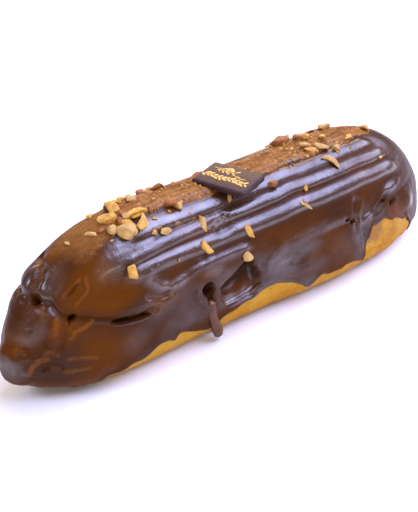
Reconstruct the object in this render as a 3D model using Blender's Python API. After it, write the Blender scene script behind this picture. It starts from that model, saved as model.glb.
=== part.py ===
"""A chocolate-iced eclair with chopped hazelnuts and a small chocolate plaque.

The choux bun lies along X with its front at -Y and rests on z = 0. Chocolate icing covers it as a thin
skin from a wavy hem up, with the hazelnut pieces fused into it, and the plaque lies on the crest.

Every surface is found in two measures: `around`, the distance along the plan outline from the middle of
the front (positive towards the +X end), and `rise`, the distance walked up the side from the base edge.
All sizes are metres.
"""
import math

import bmesh
import bpy
import numpy as np
from mathutils import Matrix, Vector

# The pastry's outer form
LENGTH = 0.150
HALF_WIDTH = 0.02103
HEIGHT = 0.04103
LEFT_ROUNDING = 0.044       # length of the rounded end at -X
RIGHT_ROUNDING = 0.039      # length of the rounded end at +X
BASE_SHARE = 0.62           # width of the flat base as a share of the full width
BELLY_HEIGHT = 0.008        # height of the widest line
SHOULDER_FULLNESS = 0.83    # below 1 the section is squarer than an ellipse
LEFT_DROP = 0.043           # share of the height lost at each tip
RIGHT_DROP = 0.082
LEFT_NARROWING = 0.20       # share of the width lost at each tip
RIGHT_NARROWING = 0.10
WAIST_PLACE = -0.0188       # the pastry is slimmer round this x
WAIST_REACH = 0.0289
WAIST_SHARE = 0.178         # share of the width lost there
SADDLE_PLACE = 0.0082       # and its crest sags round this one
SADDLE_REACH = 0.0317
SADDLE_SHARE = 0.045        # share of the height lost there

# The icing and the gaps between neighbours
HEM_THICKNESS = 0.0009
ICING_THICKNESS = 0.0024
THICKENING_RISE = 0.008     # the icing reaches full thickness this far above its hem
LEAST_ICING = 0.0005
CLEARANCE = 0.0003
FLOOR_CLEARANCE = 0.0005    # the icing stays this far above the base plane
CRUST_SINK = 0.0004         # the bare crust lies this far inside the outer form

# Height of the icing's hem: (around, rise), joined by smooth steps, for the front and for the back
HEM = (
    (-0.1685, 0.0147), (-0.1300, 0.0123), (-0.1050, 0.0083), (-0.0880, 0.0035), (-0.0640, 0.0035),
    (-0.0543, 0.0079), (-0.0456, 0.0096), (-0.0375, 0.0122), (-0.0313, 0.0121), (-0.0229, 0.0092),
    (-0.0151, 0.0117), (-0.0095, 0.0130), (-0.0022, 0.0149), (0.0045, 0.0136), (0.0109, 0.0098),
    (0.0157, 0.0122), (0.0229, 0.0104), (0.0325, 0.0100), (0.0372, 0.0204), (0.0425, 0.0202),
    (0.0484, 0.0184), (0.0557, 0.0154), (0.0604, 0.0080), (0.0660, 0.0072), (0.0760, 0.0100),
    (0.1000, 0.0135), (0.1280, 0.0116), (0.1480, 0.0152), (0.1685, 0.0147),
)

# Piped ridges along the upper sides
RIDGE_FIRST_RISE = 0.0301
RIDGE_PITCH = 0.00525
RIDGE_DEPTH = 0.0005
RIDGE_ONSET = (0.0265, 0.0295)   # they begin between these rises
RIDGE_FADE = (-0.058, -0.034)    # and die out between these places near the -X end

# Crease where the lid of icing folds over the lower half
CREASE_RISE = 0.0252
CREASE_LIFT = 0.0085             # extra rise round the -X tip
CREASE_LIFT_PLACE = -0.086
CREASE_DEPTH = 0.0016
CREASE_WIDTH = 0.0014
CREASE_REACHES = ((-0.074, 0.030, 1.0), (0.044, 0.026, 0.9), (-0.150, 0.040, 0.45), (0.120, 0.035, 0.45))

# Torn pocket in the front: (around, rise, half width, half height, depth)
POCKETS = ((-0.0218, 0.0203, 0.0022, 0.0040, 0.0014), (-0.0116, 0.0200, 0.0066, 0.0048, 0.0017))

# Swellings of the icing: (around, rise, radius, height)
SWELLS = (
    (-0.0768, 0.0182, 0.0075, 0.0007), (-0.0619, 0.0115, 0.0060, 0.0005), (-0.0659, 0.0232, 0.0040, 0.0005),
    (-0.0364, 0.0192, 0.0050, 0.0004), (0.0325, 0.0157, 0.0055, 0.0005), (0.0097, 0.0169, 0.0050, 0.0004),
    (0.0629, 0.0218, 0.0050, 0.0005), (-0.0900, 0.0098, 0.0070, 0.0004),
)

# Drip on the front, from its top down to its bead: (around, rise, half width, height over the form)
DRIP = (
    (-0.0213, 0.0175, 0.0011, -0.0002), (-0.0217, 0.0134, 0.0013, 0.0001), (-0.0211, 0.0098, 0.0016, 0.0008),
    (-0.0206, 0.0077, 0.0016, 0.0014),
)
DRIP_FLATNESS = 0.65             # its depth as a share of its width
DRIP_SIDES = 8

# Chopped hazelnuts: (around, rise, length, width)
NUTS = (
    (-0.0855, 0.0530, 0.0054, 0.0028), (-0.0716, 0.0506, 0.0050, 0.0032), (-0.0439, 0.0511, 0.0060, 0.0026),
    (-0.0483, 0.0456, 0.0052, 0.0042), (-0.0385, 0.0466, 0.0050, 0.0026), (-0.0485, 0.0482, 0.0032, 0.0022),
    (-0.1040, 0.0515, 0.0024, 0.0022), (-0.1402, 0.0494, 0.0028, 0.0020), (-0.0239, 0.0490, 0.0048, 0.0030),
    (-0.0221, 0.0479, 0.0033, 0.0032), (-0.0295, 0.0420, 0.0034, 0.0020), (-0.0187, 0.0406, 0.0048, 0.0022),
    (-0.0579, 0.0473, 0.0028, 0.0025), (-0.0400, 0.0490, 0.0034, 0.0020), (0.1451, 0.0510, 0.0060, 0.0042),
    (0.0284, 0.0454, 0.0060, 0.0020), (0.0329, 0.0480, 0.0026, 0.0024), (0.0297, 0.0509, 0.0046, 0.0024),
    (0.0336, 0.0548, 0.0026, 0.0022), (0.0067, 0.0447, 0.0026, 0.0020), (0.1132, 0.0510, 0.0044, 0.0026),
    (0.0786, 0.0474, 0.0038, 0.0026), (0.0263, 0.0513, 0.0040, 0.0022), (-0.0201, 0.0340, 0.0046, 0.0023),
    (-0.0456, 0.0353, 0.0038, 0.0025), (-0.0085, 0.0271, 0.0032, 0.0028), (-0.0059, 0.0356, 0.0042, 0.0018),
)
NUT_SCATTERS = ((-0.134, 0.013, 7), (0.138, 0.010, 6))   # more on the far side: (around, spread, count)
NUT_SCATTER_RISE = (0.043, 0.054)
NUT_SCATTER_LENGTH = (0.0024, 0.0040)
NUT_SINK = 0.28                  # share of a nut's height that is sunk in the icing
NUT_ROOT = 0.0009                # each nut reaches at least this deep
NUT_CORNERS = 9
NUT_SEED = 21

# The plaque
PLAQUE_LENGTH = 0.0167
PLAQUE_WIDTH = 0.0122
PLAQUE_THICKNESS = 0.0017
PLAQUE_CORNER = 0.0009
PLAQUE_RIM = 0.0004
PLAQUE_CENTRE = (-0.0047, -0.0051, 0.0398)
PLAQUE_TURN = math.radians(-69.8)
PLAQUE_LEAN = math.radians(5)    # its front edge hangs lower

# Mesh density
HALF_STATIONS = 52               # stations from tip to tip along one side
RIDGE_ROWS = 11
COVERED_ROWS = (0.30, 0.62)      # rows under the icing, as shares from the hem to the crease
UPPER_ROWS = (0.0325, 0.0405, 0.0485)
TOP_RISE_MARGIN = 0.0012         # the last row stops this short of the crest line

TABLE_STEPS = 700
SLIVER = 0.0000005           # shorter edges left by a cut are welded


def smooth_step(low, high, value):
    """0 below low, 1 above high and a smooth ramp between them."""
    share = np.clip((np.asarray(value) - low) / (high - low), 0.0, 1.0)
    return share * share * (3.0 - 2.0 * share)


def bump(value, centre, width):
    """A bell of height 1 round a centre."""
    return np.exp(-((np.asarray(value) - centre) / width) ** 2)


class Form:
    """The pastry's smooth outer form, before any relief."""

    def __init__(self):
        self.anchor_right = LENGTH / 2 - RIGHT_ROUNDING
        self.anchor_left = -(LENGTH / 2 - LEFT_ROUNDING)
        self._make_outline()
        self._make_profile()

    def _make_outline(self):
        """Half of the plan, from the -X tip along the front to the +X tip."""
        angle = np.linspace(0.0, math.pi / 2, TABLE_STEPS)
        left_x = self.anchor_left - LEFT_ROUNDING * np.cos(angle)
        right_x = self.anchor_right + RIGHT_ROUNDING * np.sin(angle)
        straight = np.linspace(self.anchor_left, self.anchor_right, TABLE_STEPS)[1:-1]
        self.outline_x = np.concatenate([left_x, straight, right_x])
        side = np.concatenate([np.sin(angle), np.ones(len(straight)), np.cos(angle)])
        self.outline_y = -HALF_WIDTH * side
        steps = np.hypot(np.diff(self.outline_x), np.diff(self.outline_y))
        walked = np.concatenate([[0.0], np.cumsum(steps)])
        middle = np.interp(0.0, self.outline_x, walked)
        self.outline_around = walked - middle
        self.left_tip = self.outline_around[0]
        self.right_tip = self.outline_around[-1]

    def _make_profile(self):
        """Half of the section, from the base edge over the belly to the crest."""
        low = np.linspace(-math.pi / 2, 0.0, TABLE_STEPS)
        high = np.linspace(0.0, math.pi / 2, TABLE_STEPS)[1:]
        belly = BASE_SHARE + (1.0 - BASE_SHARE) * np.cos(low)
        shoulder = np.cos(high).clip(0.0) ** SHOULDER_FULLNESS
        self.profile_share = np.concatenate([belly, shoulder])
        self.profile_z = np.concatenate([
            BELLY_HEIGHT * (1.0 + np.sin(low)),
            BELLY_HEIGHT + (HEIGHT - BELLY_HEIGHT) * np.sin(high),
        ])
        steps = np.hypot(np.diff(self.profile_share * HALF_WIDTH), np.diff(self.profile_z))
        self.profile_rise = np.concatenate([[0.0], np.cumsum(steps)])
        self.crest_rise = self.profile_rise[-1]

    def fold(self, around):
        """A place along the whole outline as (place on the front half, side: -1 front or +1 back)."""
        around = np.asarray(around, dtype=float)
        past_right = around > self.right_tip
        past_left = around < self.left_tip
        front = np.where(past_right, 2 * self.right_tip - around, around)
        front = np.where(past_left, 2 * self.left_tip - around, front)
        return front, np.where(past_right | past_left, 1.0, -1.0)

    def point(self, around, rise):
        """The point of the form at these measures, shaped (..., 3)."""
        front, side = self.fold(around)
        plan_x = np.interp(front, self.outline_around, self.outline_x)
        plan_y = -side * np.interp(front, self.outline_around, self.outline_y)
        anchor = np.clip(plan_x, self.anchor_left, self.anchor_right)
        share = np.interp(rise, self.profile_rise, self.profile_share)
        height = np.interp(rise, self.profile_rise, self.profile_z)
        x = anchor + (plan_x - anchor) * share
        left = np.clip(-2.0 * x / LENGTH, 0.0, 1.0) ** 2
        right = np.clip(2.0 * x / LENGTH, 0.0, 1.0) ** 2
        waist = WAIST_SHARE * np.exp(-np.abs((x - WAIST_PLACE) / WAIST_REACH) ** 3)
        saddle = SADDLE_SHARE * np.exp(-np.abs((x - SADDLE_PLACE) / SADDLE_REACH) ** 3)
        y = plan_y * share * (1.0 - LEFT_NARROWING * left - RIGHT_NARROWING * right) * (1.0 - waist)
        z = height * (1.0 - LEFT_DROP * left - RIGHT_DROP * right) * (1.0 - saddle)
        return np.stack([x, y, z], axis=-1)

    def normal(self, around, rise):
        """The outward unit normal of the form at these measures."""
        step = 0.0004
        rise = np.clip(rise, step, self.crest_rise - 2 * step)
        along = self.point(around + step, rise) - self.point(around - step, rise)
        upward = self.point(around, rise + step) - self.point(around, rise - step)
        across = np.cross(along, upward)
        return across / np.linalg.norm(across, axis=-1, keepdims=True)

    def shifted(self, around, rise, offset):
        """The point of the form moved outwards by an offset."""
        offset = np.asarray(offset)[..., None]
        return self.point(around, rise) + self.normal(around, rise) * offset


def hem_rise(around):
    """Rise of the icing's hem, by smooth steps between its stations."""
    places, rises = (np.array(column) for column in zip(*HEM))
    after = np.clip(np.searchsorted(places, around), 1, len(places) - 1)
    share = smooth_step(places[after - 1], places[after], around)
    return rises[after - 1] + (rises[after] - rises[after - 1]) * share


def relief(around, rise):
    """Height of the icing's ridges, crease, pocket and swellings over the outer form."""
    spread = smooth_step(*RIDGE_FADE, around) + smooth_step(*RIDGE_FADE, -0.198 - around)
    wave = np.cos(2 * math.pi * (rise - RIDGE_FIRST_RISE) / RIDGE_PITCH)
    height = RIDGE_DEPTH * spread * smooth_step(*RIDGE_ONSET, rise) * wave

    fold_rise = CREASE_RISE + CREASE_LIFT * bump(around, CREASE_LIFT_PLACE, 0.022)
    reach = sum(strength * bump(around, place, width) for place, width, strength in CREASE_REACHES)
    height = height - CREASE_DEPTH * reach * bump(rise, fold_rise, CREASE_WIDTH)
    height = height + 0.25 * CREASE_DEPTH * reach * bump(rise, fold_rise + 0.003, 0.0022)

    for place, level, half_width, half_height, depth in POCKETS:
        outside = ((around - place) / half_width) ** 2 + ((rise - level) / half_height) ** 2
        height = height - depth * (1.0 - smooth_step(0.45, 1.25, outside))
    for place, level, radius, lift in SWELLS:
        height = height + lift * bump(around, place, radius) * bump(rise, level, radius)
    return height


def icing_thickness(around, rise):
    """Depth of the icing's inner face under the outer form."""
    above_hem = np.asarray(rise) - hem_rise(around)
    return HEM_THICKNESS + (ICING_THICKNESS - HEM_THICKNESS) * smooth_step(0.0, THICKENING_RISE, above_hem)


def stations(form):
    """Places of the columns: along the front from tip to tip, then back along the far side."""
    front = np.linspace(form.left_tip, form.right_tip, HALF_STATIONS + 1)
    far_side = 2 * form.right_tip - front[-2:0:-1]
    return np.concatenate([front, far_side])


def wrapped(form, around):
    """Places past the +X tip brought back into the range of the hem and the relief."""
    full = 2 * (form.right_tip - form.left_tip)
    middle = (form.right_tip + form.left_tip) / 2
    return (around - middle + full / 2) % full - full / 2 + middle


def shell_rows(form, around, hem, shares, upper):
    """Rises of the rows over a hem: shares of the way to the crease, then fixed rises."""
    crease_foot = CREASE_RISE - 0.0030
    rows = [hem + (crease_foot - hem) * share for share in shares]
    rows += [np.full_like(around, rise) for rise in upper]
    rows.append(np.full_like(around, form.crest_rise - TOP_RISE_MARGIN))
    return rows


def ring_mesh(rings, base_cap):
    """Closed faces over rings of points, zipped shut along the crest.

    Each ring runs along the front and back along the far side, so that point i of the front
    faces point count - i of the far side.
    """
    count = len(rings[0])
    faces = []
    for row in range(len(rings) - 1):
        low, high = row * count, (row + 1) * count
        for here in range(count):
            after = (here + 1) % count
            faces.append((low + here, low + after, high + after))
            faces.append((low + here, high + after, high + here))
    faces += crest_faces((len(rings) - 1) * count, count)
    if base_cap:
        faces.append(tuple(range(count - 1, -1, -1)))
    return faces


def crest_faces(first, count):
    """Faces between the two sides of the last ring."""
    half = count // 2
    faces = [(first, first + 1, first + count - 1), (first + half - 1, first + half, first + half + 1)]
    for here in range(1, half - 1):
        front, far = first + here, first + count - here
        faces.append((front, front + 1, far - 1))
        faces.append((front, far - 1, far))
    return faces


def new_object(name, vertices, faces, material):
    """An object of these faces, all triangles, with consistent normals."""
    mesh = bpy.data.meshes.new(name)
    mesh.from_pydata([tuple(map(float, vertex)) for vertex in vertices], [], faces)
    work = bmesh.new()
    work.from_mesh(mesh)
    bmesh.ops.triangulate(work, faces=work.faces[:])
    bmesh.ops.recalc_face_normals(work, faces=work.faces[:])
    work.to_mesh(mesh)
    work.free()
    if material is not None:
        mesh.materials.append(material)
    thing = bpy.data.objects.new(name, mesh)
    bpy.context.collection.objects.link(thing)
    return thing


def new_material(name, colour, roughness):
    """A Principled material without metal."""
    material = bpy.data.materials.new(name)
    material.use_nodes = True
    shader = material.node_tree.nodes["Principled BSDF"]
    shader.inputs["Base Color"].default_value = (*colour, 1.0)
    shader.inputs["Roughness"].default_value = roughness
    shader.inputs["Metallic"].default_value = 0.0
    return material


def smooth_shading(thing, angle):
    """Smooth shading with sharp edges above an angle."""
    thing.data.shade_smooth()
    thing.data.set_sharp_from_angle(angle=angle)


def apply_boolean(thing, operation, operand):
    """Joins or cuts a thing with an object or a whole collection, and removes the operand."""
    modifier = thing.modifiers.new(operation.title(), "BOOLEAN")
    modifier.operation = operation
    modifier.solver = "EXACT"
    if isinstance(operand, bpy.types.Collection):
        modifier.operand_type = "COLLECTION"
        modifier.collection = operand
        spent = list(operand.objects)
    else:
        modifier.object = operand
        spent = [operand]
    graph = bpy.context.evaluated_depsgraph_get()
    result = bpy.data.meshes.new_from_object(thing.evaluated_get(graph))
    thing.modifiers.remove(modifier)
    thing.data = result
    for used in spent:
        bpy.data.objects.remove(used, do_unlink=True)
    if isinstance(operand, bpy.types.Collection):
        bpy.data.collections.remove(operand)


def tidy_mesh(thing, merge):
    """Welds slivers left by a cut and makes every face a triangle."""
    work = bmesh.new()
    work.from_mesh(thing.data)
    bmesh.ops.triangulate(work, faces=work.faces[:])
    bmesh.ops.dissolve_degenerate(work, dist=merge, edges=work.edges[:])
    bmesh.ops.triangulate(work, faces=work.faces[:])
    bmesh.ops.recalc_face_normals(work, faces=work.faces[:])
    work.to_mesh(thing.data)
    work.free()


def build_bun(form, material):
    """The choux bun: bare crust below the hem, and a bed under the icing above it."""
    around = stations(form)
    place = wrapped(form, around)
    hem = hem_rise(place)
    bare = smooth_step(0.0040, 0.0070, hem)
    covered_depth = HEM_THICKNESS + CLEARANCE
    crust_depth = covered_depth + (CRUST_SINK - covered_depth) * bare

    rows = [np.zeros_like(around), hem * 0.25, hem * 0.55, hem - 0.0014]
    rings = []
    for level, rise in enumerate(rows):
        ring = form.shifted(around, rise, -crust_depth)
        ring[:, 2] = 0.0 if level == 0 else ring[:, 2]
        rings.append(ring)
    upper = [hem - 0.0002] + shell_rows(form, around, hem, COVERED_ROWS + (1.0,), UPPER_ROWS)
    for rise in upper:
        depth = icing_thickness(place, rise) + CLEARANCE
        rings.append(form.shifted(around, rise, -depth))
    bun = new_object("choux_bun", np.concatenate(rings), ring_mesh(rings, base_cap=True), material)
    smooth_shading(bun, math.radians(40))
    return bun


def build_icing_shell(form, material):
    """The icing as a closed skin: a detailed outer face, a plain inner face and the hem's edge."""
    around = stations(form)
    place = wrapped(form, around)
    hem = hem_rise(place)

    ridge_rises = [RIDGE_FIRST_RISE + RIDGE_PITCH * step / 2 for step in range(RIDGE_ROWS - 1)]
    crease_rises = [CREASE_RISE - 0.0013, CREASE_RISE, CREASE_RISE + 0.0018]
    outer = []
    for rise in shell_rows(form, around, hem, (0.0, 0.10, 0.36, 0.68, 1.0), crease_rises + ridge_rises):
        thickness = icing_thickness(place, rise)
        height = np.maximum(relief(place, rise), LEAST_ICING - thickness)
        ring = form.shifted(around, rise, height)
        ring[:, 2] = np.maximum(ring[:, 2], FLOOR_CLEARANCE)
        outer.append(ring)
    inner = []
    for rise in shell_rows(form, around, hem, (0.0,) + COVERED_ROWS + (1.0,), UPPER_ROWS):
        ring = form.shifted(around, rise, -icing_thickness(place, rise))
        ring[:, 2] = np.maximum(ring[:, 2], FLOOR_CLEARANCE)
        inner.append(ring)

    count = len(around)
    faces = ring_mesh(outer, base_cap=False)
    start = len(outer) * count
    faces += [tuple(start + corner for corner in reversed(face)) for face in ring_mesh(inner, base_cap=False)]
    for here in range(count):
        after = (here + 1) % count
        faces.append((here, start + here, start + after, after))
    return new_object("chocolate_icing", np.concatenate(outer + inner), faces, material)


def surface_frame(form, around, rise):
    """Place, outward normal and along-the-outline direction on the icing's outer face."""
    place = float(wrapped(form, around))
    normal = Vector(form.normal(around, rise))
    point = Vector(form.shifted(around, rise, float(relief(place, rise))))
    along = Vector(form.point(around + 0.001, rise) - form.point(around - 0.001, rise)).normalized()
    return point, normal, along


def build_nut(form, draw, around, rise, length, width):
    """One angular chip of nut, partly sunk in the icing."""
    height = 0.55 * (length + width) / 2
    point, normal, along = surface_frame(form, around, rise)
    turn = Matrix.Rotation(draw.uniform(0.0, math.pi), 3, normal)
    along = turn @ along
    across = normal.cross(along)
    centre = point + normal * height * (0.5 - NUT_SINK)

    work = bmesh.new()
    for _ in range(NUT_CORNERS):
        direction = Vector(draw.normal(size=3)).normalized()
        reach = draw.uniform(0.85, 1.0)
        work.verts.new(
            centre
            + along * direction.x * reach * length / 2
            + across * direction.y * reach * width / 2
            + normal * direction.z * reach * height / 2
        )
    work.verts.new(point - normal * NUT_ROOT)
    hull = bmesh.ops.convex_hull(work, input=work.verts[:])
    spare = {item for item in hull["geom_interior"] if isinstance(item, bmesh.types.BMVert)}
    bmesh.ops.delete(work, geom=list(spare), context="VERTS")
    mesh = bpy.data.meshes.new("nut")
    work.to_mesh(mesh)
    work.free()
    return bpy.data.objects.new("nut", mesh)


def build_drip(form):
    """The drip: a flattened strand on the surface that ends in a bead."""
    vertices = []
    for around, rise, half_width, lift in DRIP:
        centre = Vector(form.shifted(around, rise, lift))
        _, normal, along = surface_frame(form, around, rise)
        for side in range(DRIP_SIDES):
            angle = 2 * math.pi * side / DRIP_SIDES
            reach = along * math.cos(angle) + normal * DRIP_FLATNESS * math.sin(angle)
            vertices.append(centre + half_width * reach)
    for (around, rise, half_width, lift), way in ((DRIP[0], 1.0), (DRIP[-1], -1.0)):
        vertices.append(Vector(form.shifted(around, rise + way * 0.8 * half_width, lift)))
    top, tip = len(vertices) - 2, len(vertices) - 1
    last = (len(DRIP) - 1) * DRIP_SIDES
    faces = []
    for side in range(DRIP_SIDES):
        after = (side + 1) % DRIP_SIDES
        faces.append((top, side, after))
        faces.append((last + after, last + side, tip))
        for row in range(0, last, DRIP_SIDES):
            faces.append((row + side, row + side + DRIP_SIDES, row + after + DRIP_SIDES, row + after))
    drip = new_object("drip", vertices, faces, None)
    bpy.context.collection.objects.unlink(drip)
    return drip


def nut_places(draw):
    """The measured nuts, then more of them scattered over the far side."""
    yield from NUTS
    for centre, spread, count in NUT_SCATTERS:
        for _ in range(count):
            length = draw.uniform(*NUT_SCATTER_LENGTH)
            yield (centre + draw.uniform(-spread, spread), draw.uniform(*NUT_SCATTER_RISE),
                   length, length * draw.uniform(0.5, 0.9))


def plaque_matrix():
    """Place of the plaque: turned on the crest and leaning to the front."""
    lean = Matrix.Rotation(PLAQUE_LEAN, 4, "X")
    turn = Matrix.Rotation(PLAQUE_TURN, 4, "Z")
    return Matrix.Translation(PLAQUE_CENTRE) @ lean @ turn


def plaque_block(name, grow, material):
    """A tile with rounded corners and a bevelled rim, each face moved out by `grow`."""
    work = bmesh.new()
    bmesh.ops.create_cube(work, size=1.0)
    size = (PLAQUE_LENGTH + 2 * grow, PLAQUE_WIDTH + 2 * grow, PLAQUE_THICKNESS + 2 * grow)
    bmesh.ops.scale(work, vec=size, verts=work.verts[:])
    upright = [edge for edge in work.edges if abs(edge.verts[0].co.z - edge.verts[1].co.z) > PLAQUE_THICKNESS / 2]
    bmesh.ops.bevel(work, geom=upright, offset=PLAQUE_CORNER, segments=3, profile=0.5, affect="EDGES")
    top = size[2] / 2 - 0.00001
    rim = [edge for edge in work.edges
           if min(vert.co.z for vert in edge.verts) > top and not edge.is_boundary]
    bmesh.ops.bevel(work, geom=rim, offset=PLAQUE_RIM, segments=2, profile=0.5, affect="EDGES")
    mesh = bpy.data.meshes.new(name)
    work.to_mesh(mesh)
    work.free()
    if material is not None:
        mesh.materials.append(material)
    block = bpy.data.objects.new(name, mesh)
    block.matrix_world = plaque_matrix()
    bpy.context.collection.objects.link(block)
    return block


def build_icing(form, material):
    """The icing with its nuts and drip fused on and a bed cut for the plaque."""
    icing = build_icing_shell(form, material)
    toppings = bpy.data.collections.new("icing_toppings")
    bpy.context.scene.collection.children.link(toppings)
    draw = np.random.default_rng(NUT_SEED)
    for around, rise, length, width in nut_places(draw):
        toppings.objects.link(build_nut(form, draw, around, rise, length, width))
    toppings.objects.link(build_drip(form))
    apply_boolean(icing, "UNION", toppings)
    bed = plaque_block("plaque_bed", CLEARANCE, None)
    apply_boolean(icing, "DIFFERENCE", bed)
    tidy_mesh(icing, SLIVER)
    smooth_shading(icing, math.radians(45))
    return icing


def build_plaque(material):
    """The chocolate plaque."""
    plaque = plaque_block("chocolate_plaque", 0.0, material)
    smooth_shading(plaque, math.radians(35))
    return plaque


def centre_over_origin(things):
    """Moves the pieces together so that the middle of their common box stands over the origin."""
    bpy.context.view_layer.update()
    corners = [thing.matrix_world @ vertex.co for thing in things for vertex in thing.data.vertices]
    low = [min(corner[axis] for corner in corners) for axis in range(2)]
    high = [max(corner[axis] for corner in corners) for axis in range(2)]
    shift = Vector((-(low[0] + high[0]) / 2, -(low[1] + high[1]) / 2, 0.0))
    for thing in things:
        thing.matrix_world = Matrix.Translation(shift) @ thing.matrix_world


def main():
    """Builds the eclair in an empty scene."""
    for thing in list(bpy.data.objects):
        bpy.data.objects.remove(thing, do_unlink=True)
    form = Form()
    pieces = [
        build_bun(form, new_material("choux", (0.58, 0.28, 0.075), 0.6)),
        build_icing(form, new_material("chocolate", (0.075, 0.028, 0.014), 0.25)),
        build_plaque(new_material("plaque_chocolate", (0.07, 0.032, 0.022), 0.35)),
    ]
    centre_over_origin(pieces)


if __name__ == "__main__":
    main()
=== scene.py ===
"""Dresses the chocolate-iced eclair: icing, choux crust, chopped hazelnuts, plaque and a plain studio.

Every surface is found in two measures, in metres: `around`, the distance along the plan outline from the
middle of the front (positive towards +X), and `rise`, the distance walked up the side from the base edge.
"""
from __future__ import annotations

import logging
import math
from dataclasses import dataclass, field
from enum import Enum
from typing import Any, Iterable, Sequence

import bmesh
import bpy
import numpy as np
from mathutils import Matrix, Vector


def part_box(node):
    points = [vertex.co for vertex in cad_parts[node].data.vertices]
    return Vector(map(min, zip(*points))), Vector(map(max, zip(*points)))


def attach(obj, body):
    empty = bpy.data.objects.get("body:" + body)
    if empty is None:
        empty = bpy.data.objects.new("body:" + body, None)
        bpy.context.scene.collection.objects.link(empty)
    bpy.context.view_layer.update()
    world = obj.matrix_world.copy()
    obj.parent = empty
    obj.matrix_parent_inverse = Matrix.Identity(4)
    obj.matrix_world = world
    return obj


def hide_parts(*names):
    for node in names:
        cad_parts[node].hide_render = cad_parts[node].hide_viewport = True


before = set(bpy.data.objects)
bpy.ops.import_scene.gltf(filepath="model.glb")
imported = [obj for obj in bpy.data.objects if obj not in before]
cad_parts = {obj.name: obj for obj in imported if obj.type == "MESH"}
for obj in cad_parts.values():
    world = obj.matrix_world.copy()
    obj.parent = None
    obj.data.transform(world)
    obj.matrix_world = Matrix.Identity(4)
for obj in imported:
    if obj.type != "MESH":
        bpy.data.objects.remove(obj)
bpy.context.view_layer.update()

LOG = logging.getLogger("eclair")
Array = np.ndarray
Colour = tuple[float, float, float]


# --- Shared arithmetic ---


def smooth_step(low: float, high: float, value: Any) -> Array:
    """0 below low, 1 above high and a smooth ramp between them."""
    share = np.clip((np.asarray(value, dtype=float) - low) / (high - low), 0.0, 1.0)
    return share * share * (3.0 - 2.0 * share)


def bump(value: Any, centre: Any, width: float) -> Array:
    """A bell of height 1 round a centre."""
    return np.exp(-(((np.asarray(value, dtype=float) - centre) / width) ** 2))


def window(value: Any, start: float, end: float, edge: float) -> Array:
    """1 between start and end, fading to 0 over `edge` outside them."""
    return smooth_step(start - edge, start, value) * (1.0 - smooth_step(end, end + edge, value))


class LatticeNoise:
    """Smooth noise in space between -1 and 1, from a seeded lattice."""

    SIDE = 32

    def __init__(self, seed: int) -> None:
        """Draws the lattice.

        Args:
            seed: seed of the draw.
        """
        self.lattice = np.random.default_rng(seed).uniform(-1.0, 1.0, (self.SIDE,) * 3)

    def at(self, points: Array, size: float | Sequence[float]) -> Array:
        """Noise at points.

        Args:
            points: places, shaped (..., 3).
            size: size of one lump, in metres, or one for each axis.

        Returns:
            The noise, shaped (...).
        """
        scaled = points / np.asarray(size) + 7.31
        base = np.floor(scaled).astype(int)
        part = scaled - base
        part = part * part * (3.0 - 2.0 * part)
        total = np.zeros(points.shape[:-1])
        for corner in range(8):
            step = np.array([(corner >> axis) & 1 for axis in range(3)])
            cell = (base + step) % self.SIDE
            weight = np.prod(np.where(step == 1, part, 1.0 - part), axis=-1)
            total += weight * self.lattice[cell[..., 0], cell[..., 1], cell[..., 2]]
        return total

    def layered(self, points: Array, size: float | Sequence[float], layers: int = 3) -> Array:
        """Noise with finer layers added, each half as large and half as strong."""
        sizes = np.asarray(size, dtype=float)
        total = np.zeros(points.shape[:-1])
        for layer in range(layers):
            total += 0.5**layer * self.at(points + 0.0137 * layer, sizes * 0.5**layer)
        return total / 1.6


# --- Form of the pastry ---


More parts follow.
